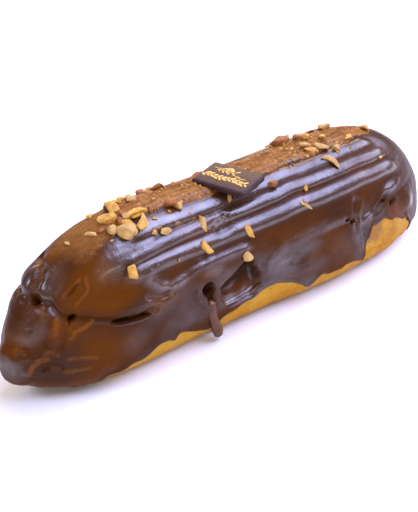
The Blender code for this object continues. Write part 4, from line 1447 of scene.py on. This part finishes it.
NUT_PIECES: tuple[NutPiece, ...] = tuple(NutPiece(*row) for row in (
    (-0.1040, 0.0515, 0.0022, 0.0020, 0.0, NutKind.SKIN, NutShape.BALL),
    (-0.0855, 0.0530, 0.0058, 0.0030, 5.0, NutKind.GOLDEN, NutShape.SHARD),
    (-0.0716, 0.0506, 0.0050, 0.0034, -3.0, NutKind.GOLDEN, NutShape.CHUNK),
    (-0.0439, 0.0511, 0.0064, 0.0027, -5.0, NutKind.GOLDEN, NutShape.CURL),
    (-0.0485, 0.0480, 0.0035, 0.0025, -11.0, NutKind.GOLDEN),
    (-0.0385, 0.0466, 0.0052, 0.0026, -130.0, NutKind.GOLDEN, NutShape.CURL),
    (-0.0400, 0.0490, 0.0036, 0.0018, -8.0, NutKind.GOLDEN, NutShape.SHARD),
    (-0.0483, 0.0456, 0.0054, 0.0046, -6.0, NutKind.PALE, NutShape.LUMP),
    (-0.0436, 0.0448, 0.0020, 0.0018, 60.0, NutKind.PALE, NutShape.LUMP),
    (-0.0579, 0.0473, 0.0028, 0.0025, -6.0, NutKind.PALE, NutShape.LUMP),
    (-0.0560, 0.0495, 0.0026, 0.0018, 50.0, NutKind.TOASTED),
    (-0.0520, 0.0505, 0.0024, 0.0018, 20.0, NutKind.PALE),
    (-0.0600, 0.0520, 0.0028, 0.0020, 80.0, NutKind.TOASTED),
    (-0.0718, 0.0471, 0.0032, 0.0016, 4.0, NutKind.PALE, NutShape.SHARD),
    (-0.0999, 0.0488, 0.0029, 0.0018, 17.0, NutKind.GOLDEN, NutShape.SHARD),
    (-0.0660, 0.0478, 0.0020, 0.0013, 30.0, NutKind.TOASTED),
    (-0.0805, 0.0450, 0.0018, 0.0011, 10.0, NutKind.PALE, NutShape.SHARD),
    (-0.0239, 0.0490, 0.0050, 0.0032, -25.0, NutKind.TOASTED, NutShape.LUMP),
    (-0.0300, 0.0500, 0.0024, 0.0018, 30.0, NutKind.TOASTED),
    (-0.0221, 0.0479, 0.0033, 0.0032, 0.0, NutKind.PALE, NutShape.LUMP),
    (-0.1402, 0.0494, 0.0027, 0.0020, 10.0, NutKind.TOASTED),
    (-0.0339, 0.0425, 0.0017, 0.0016, 5.0, NutKind.PALE),
    (-0.0295, 0.0420, 0.0034, 0.0019, -7.0, NutKind.PALE, NutShape.LUMP),
    (-0.0187, 0.0406, 0.0048, 0.0020, -103.0, NutKind.PALE, NutShape.SHARD),
    (-0.0059, 0.0356, 0.0044, 0.0017, -75.0, NutKind.GOLDEN, NutShape.SHARD),
    (-0.0201, 0.0340, 0.0048, 0.0023, -52.0, NutKind.GOLDEN),
    (-0.0456, 0.0353, 0.0038, 0.0025, -101.0, NutKind.GOLDEN),
    (-0.0085, 0.0271, 0.0032, 0.0028, -37.0, NutKind.PALE),
    (0.0284, 0.0454, 0.0062, 0.0020, -58.0, NutKind.PALE, NutShape.CURL),
    (0.0329, 0.0480, 0.0026, 0.0024, 60.0, NutKind.PALE, NutShape.LUMP),
    (0.0297, 0.0509, 0.0046, 0.0024, -67.0, NutKind.PALE, NutShape.SHARD),
    (0.0263, 0.0513, 0.0042, 0.0020, -45.0, NutKind.GOLDEN, NutShape.SHARD),
    (0.0262, 0.0544, 0.0030, 0.0022, -72.0, NutKind.PALE),
    (0.0336, 0.0548, 0.0027, 0.0022, 0.0, NutKind.PALE),
    (0.0478, 0.0503, 0.0034, 0.0016, -6.0, NutKind.GOLDEN, NutShape.SHARD),
    (0.1132, 0.0510, 0.0046, 0.0028, 0.0, NutKind.PALE),
    (0.1451, 0.0510, 0.0062, 0.0044, 10.0, NutKind.TOASTED, NutShape.LUMP),
    (0.1392, 0.0516, 0.0036, 0.0026, 40.0, NutKind.TOASTED),
    (0.1368, 0.0505, 0.0032, 0.0022, 0.0, NutKind.PALE),
    (0.0786, 0.0474, 0.0040, 0.0027, 0.0, NutKind.PALE),
    (0.0156, 0.0406, 0.0020, 0.0012, 80.0, NutKind.GOLDEN),
    (0.0133, 0.0355, 0.0042, 0.0012, -50.0, NutKind.PALE, NutShape.SHARD),
    (0.0128, 0.0366, 0.0018, 0.0009, -80.0, NutKind.TOASTED, NutShape.SHARD),
    (0.0067, 0.0447, 0.0028, 0.0020, -4.0, NutKind.TOASTED, NutShape.LUMP),
    (-0.0077, 0.0448, 0.0024, 0.0012, -114.0, NutKind.PALE, NutShape.SHARD),
    (-0.0052, 0.0452, 0.0026, 0.0018, -100.0, NutKind.TOASTED),
    (0.0520, 0.0394, 0.0016, 0.0011, 0.0, NutKind.PALE, NutShape.SHARD),
))


@dataclass
class HazelnutTopping:
    """Chopped hazelnuts: measured pieces, and more drawn on the far side."""

    form: PastryForm
    icing: ChocolateIcing
    sink: float = 0.26
    seed: int = 5
    far_scatters: tuple[tuple[float, float, int], ...] = ((-0.134, 0.013, 9), (0.138, 0.010, 8))
    far_rises: tuple[float, float] = (0.043, 0.054)
    far_lengths: tuple[float, float] = (0.0022, 0.0040)
    round_boxiness: float = 0.05
    cut_boxiness: float = 0.45
    bevel_share: float = 0.17
    smoothings: int = 3
    sharp_angle: float = math.radians(75)

    def pieces(self, draw: np.random.Generator) -> list[NutPiece]:
        """The measured pieces and the drawn ones of the far side."""
        chosen = list(NUT_PIECES)
        kinds = (NutKind.PALE, NutKind.GOLDEN, NutKind.TOASTED, NutKind.PALE)
        for centre, spread, count in self.far_scatters:
            for _ in range(count):
                length = draw.uniform(*self.far_lengths)
                chosen.append(NutPiece(
                    centre + draw.uniform(-spread, spread), draw.uniform(*self.far_rises), length,
                    length * draw.uniform(0.5, 0.9), draw.uniform(0.0, 180.0),
                    kinds[draw.integers(len(kinds))],
                ))
        return chosen

    def nut_mesh(self, piece: NutPiece, draw: np.random.Generator) -> tuple[Array, list[tuple[int, ...]]]:
        """One piece of nut in its place.

        Args:
            piece: the piece.
            draw: source of its random corners.

        Returns:
            Points and faces.
        """
        corners, flatness, bend = piece.shape.value
        height = flatness * piece.width if piece.shape is not NutShape.SHARD else 0.6 * piece.width
        work = bmesh.new()
        for _ in range(corners):
            direction = draw.normal(size=3)
            direction = direction / np.linalg.norm(direction)
            box = np.abs(direction).max()
            rounded = piece.shape in (NutShape.BALL, NutShape.LUMP)
            share = self.round_boxiness if rounded else self.cut_boxiness
            direction = direction * (1.0 - share + share / box) * draw.uniform(0.88, 1.0)
            work.verts.new(Vector(direction * np.array([piece.length, piece.width, height]) / 2))
        wrap_in_hull(work)
        bmesh.ops.bevel(work, geom=work.edges[:], offset=self.bevel_share * piece.width, segments=3,
                        profile=0.5, affect="EDGES", clamp_overlap=True)
        bmesh.ops.triangulate(work, faces=work.faces[:])
        for _ in range(self.smoothings):
            bmesh.ops.smooth_vert(work, verts=work.verts[:], factor=0.5, use_axis_x=True, use_axis_y=True,
                                  use_axis_z=True)
        work.verts.index_update()
        points = np.array([vertex.co[:] for vertex in work.verts])
        points = points * (np.array([piece.length, piece.width, height]) / np.ptp(points, axis=0))
        faces = [tuple(vertex.index for vertex in face.verts) for face in work.faces]
        work.free()
        if bend:
            curve = (points[:, 0] / piece.length) ** 2 * bend * piece.length
            points[:, 1] = points[:, 1] - curve + 0.05 * bend * piece.length
        return self._placed(points, piece, height), faces

    def _placed(self, points: Array, piece: NutPiece, height: float) -> Array:
        """Moves a piece's points to its place on the icing."""
        around, rise = np.array([piece.around]), np.array([piece.rise])
        point = self.icing.outer_point(around, rise)[0]
        normal = self.form.normal(around, rise)[0]
        along = (self.form.point(around + 0.0004, rise) - self.form.point(around - 0.0004, rise))[0]
        along = along / np.linalg.norm(along)
        upward = np.cross(normal, along)
        turn = math.radians(piece.turn)
        first = along * math.cos(turn) + upward * math.sin(turn)
        second = np.cross(normal, first)
        centre = point + normal * height * (0.5 - self.sink)
        return centre + points[:, :1] * first + points[:, 1:2] * second + points[:, 2:] * normal

    def build(self) -> list[bpy.types.Object]:
        """Builds one object for each roast and attaches each to the root body."""
        draw = np.random.default_rng(self.seed)
        by_kind: dict[NutKind, list] = {kind: [] for kind in NutKind}
        for piece in self.pieces(draw):
            by_kind[piece.kind].append(self.nut_mesh(piece, draw))
        made = []
        for kind, parts in by_kind.items():
            nuts = join_meshes(kind.value.name, parts)
            nuts.data.set_sharp_from_angle(angle=self.sharp_angle)
            nuts.data.materials.append(kind.value.material())
            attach(nuts, "root")
            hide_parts("chocolate_icing")
            made.append(nuts)
        return made


@dataclass
class NutCrumbs:
    """Fine crumbs strewn on the icing by Geometry Nodes."""

    form: PastryForm
    icing: ChocolateIcing
    name: str
    finish: NutFinish
    density: float
    sizes: tuple[float, float]
    seed: int

    CORNERS = 9
    FULL_TURN = (6.28, 6.28, 6.28)

    def _ground(self) -> bpy.types.Object:
        """A patch of the icing's outer face, with how thickly crumbs lie there."""
        columns = self.form.columns((-0.074, 0.068), 0.0012, 0.0020)
        rises = np.linspace(0.029, self.form.crest_rise - 0.0006, 60)
        around, rise = np.meshgrid(columns, rises)
        ground = make_mesh("crumb_ground", self.icing.outer_point(around, rise).reshape(-1, 3),
                           ring_faces(len(rises), len(columns), True))
        front, _ = self.form.fold(self.form.wrapped(around))
        left = bump(front, -0.038, 0.017) * smooth_step(0.042, 0.050, rise)
        right = bump(front, 0.029, 0.016) * smooth_step(0.045, 0.052, rise)
        crest = 0.25 * smooth_step(0.049, 0.053, rise)
        strip = 0.08 * bump(front, -0.020, 0.012) * bump(rise, 0.038, 0.004)
        paint(ground, "thickness", np.maximum.reduce([left, right, crest, strip]).ravel())
        return ground

    def _crumb(self) -> bpy.types.Object:
        """One angular crumb of unit size."""
        draw = np.random.default_rng(self.seed)
        work = bmesh.new()
        for _ in range(self.CORNERS):
            direction = Vector(draw.normal(size=3)).normalized()
            work.verts.new(Vector((direction.x, direction.y * 0.7, direction.z * 0.5)) * 0.5)
        wrap_in_hull(work)
        mesh = bpy.data.meshes.new("crumb")
        work.to_mesh(mesh)
        work.free()
        return link_object("crumb", mesh)

    def _tree(self, crumb: bpy.types.Object, material: bpy.types.Material) -> bpy.types.NodeTree:
        """The scattering tree: inputs Density, Smallest, Largest and Seed."""
        tree = bpy.data.node_groups.new(self.name + "_scatter", "GeometryNodeTree")
        tree.interface.new_socket("Geometry", in_out="INPUT", socket_type="NodeSocketGeometry")
        for label in ("Density", "Smallest", "Largest"):
            tree.interface.new_socket(label, in_out="INPUT", socket_type="NodeSocketFloat")
        tree.interface.new_socket("Seed", in_out="INPUT", socket_type="NodeSocketInt")
        tree.interface.new_socket("Geometry", in_out="OUTPUT", socket_type="NodeSocketGeometry")
        nodes, links = tree.nodes, tree.links
        start, end = nodes.new("NodeGroupInput"), nodes.new("NodeGroupOutput")
        amount = nodes.new("GeometryNodeInputNamedAttribute")
        amount.data_type = "FLOAT"
        amount.inputs["Name"].default_value = "thickness"
        thickly = nodes.new("ShaderNodeMath")
        thickly.operation = "MULTIPLY"
        scatter = nodes.new("GeometryNodeDistributePointsOnFaces")
        place = nodes.new("GeometryNodeInstanceOnPoints")
        source = nodes.new("GeometryNodeObjectInfo")
        source.inputs["Object"].default_value = crumb
        source.inputs["As Instance"].default_value = True
        size = nodes.new("FunctionNodeRandomValue")
        turn = nodes.new("FunctionNodeRandomValue")
        turn.data_type = "FLOAT_VECTOR"
        turn.inputs["Max"].default_value = self.FULL_TURN
        realize = nodes.new("GeometryNodeRealizeInstances")
        dress = nodes.new("GeometryNodeSetMaterial")
        dress.inputs["Material"].default_value = material
        scale_sockets = [socket for socket in size.inputs if socket.type == "VALUE"]
        for first, second in (
            (start.outputs["Geometry"], scatter.inputs["Mesh"]),
            (start.outputs["Density"], thickly.inputs[0]),
            (amount.outputs["Attribute"], thickly.inputs[1]),
            (thickly.outputs["Value"], scatter.inputs["Density"]),
            (start.outputs["Seed"], scatter.inputs["Seed"]),
            (scatter.outputs["Points"], place.inputs["Points"]),
            (source.outputs["Geometry"], place.inputs["Instance"]),
            (start.outputs["Smallest"], scale_sockets[0]),
            (start.outputs["Largest"], scale_sockets[1]),
            (turn.outputs["Value"], place.inputs["Rotation"]),
            (place.outputs["Instances"], realize.inputs["Geometry"]),
            (realize.outputs["Geometry"], dress.inputs["Geometry"]),
            (dress.outputs["Geometry"], end.inputs["Geometry"]),
        ):
            links.new(first, second)
        scale_out = next(socket for socket in size.outputs if socket.enabled)
        links.new(scale_out, place.inputs["Scale"])
        return tree

    def build(self) -> bpy.types.Object:
        """Scatters, realizes and attaches the crumbs to the root body."""
        ground, crumb = self._ground(), self._crumb()
        material = self.finish.material()
        tree = self._tree(crumb, material)
        modifier = ground.modifiers.new("scatter", "NODES")
        modifier.node_group = tree
        smallest, largest = self.sizes
        values = {"Density": self.density, "Smallest": smallest, "Largest": largest, "Seed": self.seed}
        for item in tree.interface.items_tree:
            if item.in_out == "INPUT" and item.name in values:
                modifier[item.identifier] = values[item.name]
        graph = bpy.context.evaluated_depsgraph_get()
        mesh = bpy.data.meshes.new_from_object(ground.evaluated_get(graph))
        crumbs = link_object(self.name, mesh)
        for spent in (ground, crumb):
            bpy.data.objects.remove(spent, do_unlink=True)
        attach(crumbs, "root")
        return crumbs


CRUMBS = (
    ("crumbs_pale", NutKind.PALE, 250000.0, (0.0005, 0.0014), 3),
    ("crumbs_golden", NutKind.GOLDEN, 90000.0, (0.0008, 0.0022), 8),
    ("crumbs_toasted", NutKind.TOASTED, 200000.0, (0.0005, 0.0010), 4),
)


@dataclass
class ChocolatePlaque:
    """The moulded tile on the crest and the gold print on it."""

    form: PastryForm
    length: float = 0.0165
    width: float = 0.0122
    thickness: float = 0.0017
    corner: float = 0.0009
    rim: float = 0.0007
    centre: tuple[float, float, float] = (-0.0047, -0.0051, 0.0398)
    turn: float = math.radians(-69.8)
    lean: float = math.radians(5)
    cells: int = 60

    def matrix(self) -> Matrix:
        """Place of the plaque: turned on the crest and leaning to the front."""
        centre = Vector(self.centre) + Vector((*self.form.shift, 0.0))
        turned = Matrix.Rotation(self.lean, 4, "X") @ Matrix.Rotation(self.turn, 4, "Z")
        return Matrix.Translation(centre) @ turned

    def placed(self, points: Array) -> Array:
        """Points of the tile's own frame, in place."""
        matrix = np.array(self.matrix())
        return points @ matrix[:3, :3].T + matrix[:3, 3]

    def build(self) -> list[bpy.types.Object]:
        """Builds and attaches the tile and its print to the root body."""
        return [self._tile(), self._gilt()]

    def _tile(self) -> bpy.types.Object:
        """The tile: a rounded block with a soft rim and faintly uneven faces."""
        work = bmesh.new()
        bmesh.ops.create_cube(work, size=1.0)
        bmesh.ops.scale(work, vec=(self.length, self.width, self.thickness), verts=work.verts[:])
        upright = [edge for edge in work.edges if abs(edge.verts[0].co.z - edge.verts[1].co.z) > 0.001]
        bmesh.ops.bevel(work, geom=upright, offset=self.corner, segments=6, profile=0.5, affect="EDGES")
        level = self.thickness / 2 - 0.00001
        for way in (1.0, -1.0):
            rim = [edge for edge in work.edges if all(vert.co.z * way > level for vert in edge.verts)]
            offset = self.rim if way > 0 else self.rim * 0.6
            bmesh.ops.bevel(work, geom=rim, offset=offset, segments=5, profile=0.5, affect="EDGES")
        bmesh.ops.triangulate(work, faces=[face for face in work.faces if len(face.verts) > 4])
        mesh = bpy.data.meshes.new("plaque_tile")
        work.to_mesh(mesh)
        work.free()
        mesh.transform(self.matrix())
        mesh.shade_smooth()
        mesh.set_sharp_from_angle(angle=math.radians(35))
        tile = link_object("plaque_tile", mesh)
        tile.data.materials.append(PlaqueFinish().material())
        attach(tile, "root")
        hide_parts("chocolate_plaque")
        return tile

    def _gilt(self) -> bpy.types.Object:
        """A plain printed spray: waving stems with leaves on both sides, a fan of leaves over them and a few
        strokes.
        """
        top = self.thickness / 2 + 0.00002
        parts = self._sprig(-0.0071, 0.0066, -0.0014, 21, 0.00085, top)
        parts += self._sprig(-0.0046, 0.0012, 0.0024, 8, 0.00065, top)
        for turn in range(20, 180, 32):
            angle = math.radians(turn)
            parts.append(self._leaf(-0.0016 + 0.0009 * math.cos(angle), 0.0030 + 0.0009 * math.sin(angle),
                                    turn, 0.00085, 0.00034, top))
        for x0, y0, x1, y1 in ((-0.0062, 0.0028, -0.0040, 0.0030), (0.0006, 0.0012, 0.0030, 0.0010),
                               (0.0022, 0.0007, 0.0052, 0.0004)):
            parts.append(self._stroke(x0, y0, x1, y1, 0.00028, top))
        gilt = join_meshes("plaque_gilt", [(self.placed(points), faces) for points, faces in parts])
        gilt.data.materials.append(GiltFinish().material())
        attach(gilt, "root")
        return gilt

    def _sprig(self, start: float, end: float, level: float, leaves: int, leaf_length: float,
               top: float) -> list[tuple[Array, list[tuple[int, ...]]]]:
        """A waving stem with leaves on both sides, at a level over the middle of the tile."""
        def stem(x: float) -> float:
            return level + 0.00030 * math.sin(x / 0.0011)

        parts = []
        for x in np.arange(start, end - 0.0012, 0.0018):
            parts.append(self._stroke(x, stem(x), x + 0.0021, stem(x + 0.0021), 0.00034, top))
        for index, x in enumerate(np.linspace(start + 0.0004, end, leaves)):
            side = 1.0 if index % 2 else -1.0
            swing = math.sin(index * 2.1)
            parts.append(self._leaf(x, stem(x) + side * 0.00070, 35.0 * side + 14.0 * swing,
                                    leaf_length * (1.0 + 0.2 * swing), 0.40 * leaf_length, top))
        return parts

    @staticmethod
    def _slab(outline: Array, top: float) -> tuple[Array, list[tuple[int, ...]]]:
        """A thin closed slab with this outline."""
        count = len(outline)
        low = np.column_stack([outline, np.full(count, top - 0.00004)])
        high = np.column_stack([outline, np.full(count, top)])
        faces = [tuple(range(count))[::-1], tuple(range(count, 2 * count))]
        for here in range(count):
            after = (here + 1) % count
            faces.append((here, after, count + after, count + here))
        return np.concatenate([low, high]), faces

    def _stroke(self, x0: float, y0: float, x1: float, y1: float, width: float,
                top: float) -> tuple[Array, list[tuple[int, ...]]]:
        """A brushed line between two points, thinner at its ends."""
        share = np.linspace(0.0, 1.0, 24)
        half = 0.5 * width * (0.35 + 0.65 * np.sin(math.pi * share) ** 0.5)
        x = x0 + (x1 - x0) * share
        y = y0 + (y1 - y0) * share + 0.00012 * np.sin(share * 9.0)
        outline = np.concatenate([np.column_stack([x, y - half]), np.column_stack([x, y + half])[::-1]])
        return self._slab(outline, top)

    def _leaf(self, x: float, y: float, turn: float, half_length: float, half_width: float,
              top: float) -> tuple[Array, list[tuple[int, ...]]]:
        """A pointed leaf, turned by degrees."""
        share = np.linspace(-1.0, 1.0, 9)
        width = half_width * np.sqrt(1.0 - np.abs(share) ** 1.6)
        along = np.concatenate([share, share[-2:0:-1]]) * half_length
        across = np.concatenate([-width, width[-2:0:-1]])
        angle = math.radians(turn)
        outline = np.column_stack([x + along * math.cos(angle) - across * math.sin(angle),
                                   y + along * math.sin(angle) + across * math.cos(angle)])
        return self._slab(outline, top)


@dataclass(frozen=True)
class Lamp:
    """A soft rectangular light that faces the pastry.

    Its direction is seen from the pastry, its size is width and height in metres, its power is in watts,
    and `run` is the way its height runs.
    """

    name: str
    direction: tuple[float, float, float]
    distance: float
    size: tuple[float, float]
    power: float
    colour: Colour
    run: tuple[float, float, float] = (0.0, 0.0, 1.0)


@dataclass
class Studio:
    """Floor, lights and camera: a cool softbox overhead, a warm panel behind and gentle fills."""

    LAMPS = (
        Lamp("softbox_cool", (0.484, -0.20, 0.85), 0.60, (0.34, 0.98), 9.4,
             (0.54, 0.585, 1.0), (0.0, 1.0, 0.27)),
        Lamp("softbox_dome", (0.13, -0.52, 0.84), 0.60, (0.16, 0.30), 1.0,
             (0.60, 0.63, 1.0), (0.0, 1.0, 0.5)),
        Lamp("softbox_end", (0.90, -0.12, 0.46), 0.65, (0.26, 0.55), 2.6,
             (0.66, 0.68, 1.0), (0.0, 1.0, 0.1)),
        Lamp("panel_warm", (0.42, 0.80, 0.42), 0.80, (0.80, 0.34), 5.0, (1.0, 0.72, 0.46)),
        Lamp("fill_left", (-0.74, 0.19, 0.62), 0.75, (0.26, 0.26), 3.0, (0.70, 0.72, 1.0)),
        Lamp("fill_front", (-0.45, -0.80, 0.30), 0.90, (0.60, 0.40), 2.7, (1.0, 0.88, 0.76)),
    )

    form: PastryForm
    azimuth: float = math.radians(-34.0)
    elevation: float = math.radians(30.0)
    roll: float = math.radians(-5.0)
    distance: float = 0.22143
    focal_pixels: float = 763.2
    picture_height: int = 512
    aim: tuple[float, float, float] = (-0.00981, 0.0, 0.0155)
    sensor: float = 36.0
    lamp_aim: float = 0.03
    floor_half: float = 3.0
    sky: Colour = (0.93, 0.92, 1.0)
    sky_strength: float = 0.22

    def build(self) -> None:
        """Builds the floor, the lights, the world and the camera."""
        self._floor()
        self._lights()
        self._world()
        self._camera()

    def _floor(self) -> None:
        """A pale table top."""
        half = self.floor_half
        points = np.array([(-half, -half, 0.0), (half, -half, 0.0), (half, half, 0.0), (-half, half, 0.0)])
        floor = make_mesh("table_top", points, [(0, 1, 2, 3)])
        floor.data.materials.append(FloorFinish().material())

    def _lights(self) -> None:
        """Hangs every lamp round the pastry."""
        for plan in self.LAMPS:
            lamp = bpy.data.lights.new(plan.name, "AREA")
            lamp.shape = "RECTANGLE"
            lamp.size, lamp.size_y = plan.size
            lamp.energy = plan.power
            lamp.color = plan.colour
            away = Vector(plan.direction).normalized()
            height = (Vector(plan.run) - away * away.dot(Vector(plan.run))).normalized()
            turn = Matrix((height.cross(away), height, away)).transposed().to_4x4()
            place = away * plan.distance + Vector((0.0, 0.0, self.lamp_aim))
            link_object(plan.name, lamp).matrix_world = Matrix.Translation(place) @ turn

    def _world(self) -> None:
        """An even pale sky."""
        world = bpy.data.worlds.new("studio")
        bpy.context.scene.world = world
        world.use_nodes = True
        background = world.node_tree.nodes["Background"]
        background.inputs["Color"].default_value = (*self.sky, 1.0)
        background.inputs["Strength"].default_value = self.sky_strength

    def _camera(self) -> None:
        """The camera, at the picture's viewing angle."""
        cos_e, sin_e = math.cos(self.elevation), math.sin(self.elevation)
        back = Vector((math.sin(self.azimuth) * cos_e, -math.cos(self.azimuth) * cos_e, sin_e))
        right = Vector((math.cos(self.azimuth), math.sin(self.azimuth), 0.0))
        up = back.cross(right)
        right, up = (right * math.cos(self.roll) + up * math.sin(self.roll),
                     up * math.cos(self.roll) - right * math.sin(self.roll))
        lens = bpy.data.cameras.new("camera")
        lens.sensor_fit = "VERTICAL"
        lens.sensor_height = self.sensor
        lens.lens = self.focal_pixels / self.picture_height * self.sensor
        lens.clip_start = 0.01
        camera = link_object("camera", lens)
        place = Vector(self.aim) + Vector((*self.form.shift, 0.0)) + back * self.distance
        turn = Matrix((right, up, back)).transposed().to_4x4()
        camera.matrix_world = Matrix.Translation(place) @ turn
        bpy.context.scene.camera = camera
        bpy.context.scene.view_settings.view_transform = "Standard"
        bpy.context.scene.view_settings.look = "None"


def frame_shift() -> tuple[float, float]:
    """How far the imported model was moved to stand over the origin, from its symmetric bun and its icing."""
    bun_low, bun_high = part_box("choux_bun")
    icing_low, icing_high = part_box("chocolate_icing")
    return (icing_low.x + icing_high.x) / 2, (bun_low.y + bun_high.y) / 2


def main() -> None:
    """Builds every sub-assembly in order and reports each piece."""
    logging.basicConfig(level=logging.INFO, format="%(name)s: %(message)s")
    form = PastryForm(shift=frame_shift())
    hem = Hem()
    icing = ChocolateIcing(form, hem, IcingRelief(form))
    made = [icing.build(), IcingDrip(form).build(), IcingSmear(form, icing.relief).build(),
            ChouxBun(form, hem, icing).build()]
    made += HazelnutTopping(form, icing).build()
    for name, kind, density, sizes, seed in CRUMBS:
        made.append(NutCrumbs(form, icing, name, kind.value, density, sizes, seed).build())
    made += ChocolatePlaque(form).build()
    Studio(form).build()
    for thing in made:
        thing.data.calc_loop_triangles()
        LOG.info("%s: %d triangles", thing.name, len(thing.data.loop_triangles))


if __name__ == "__main__":
    main()
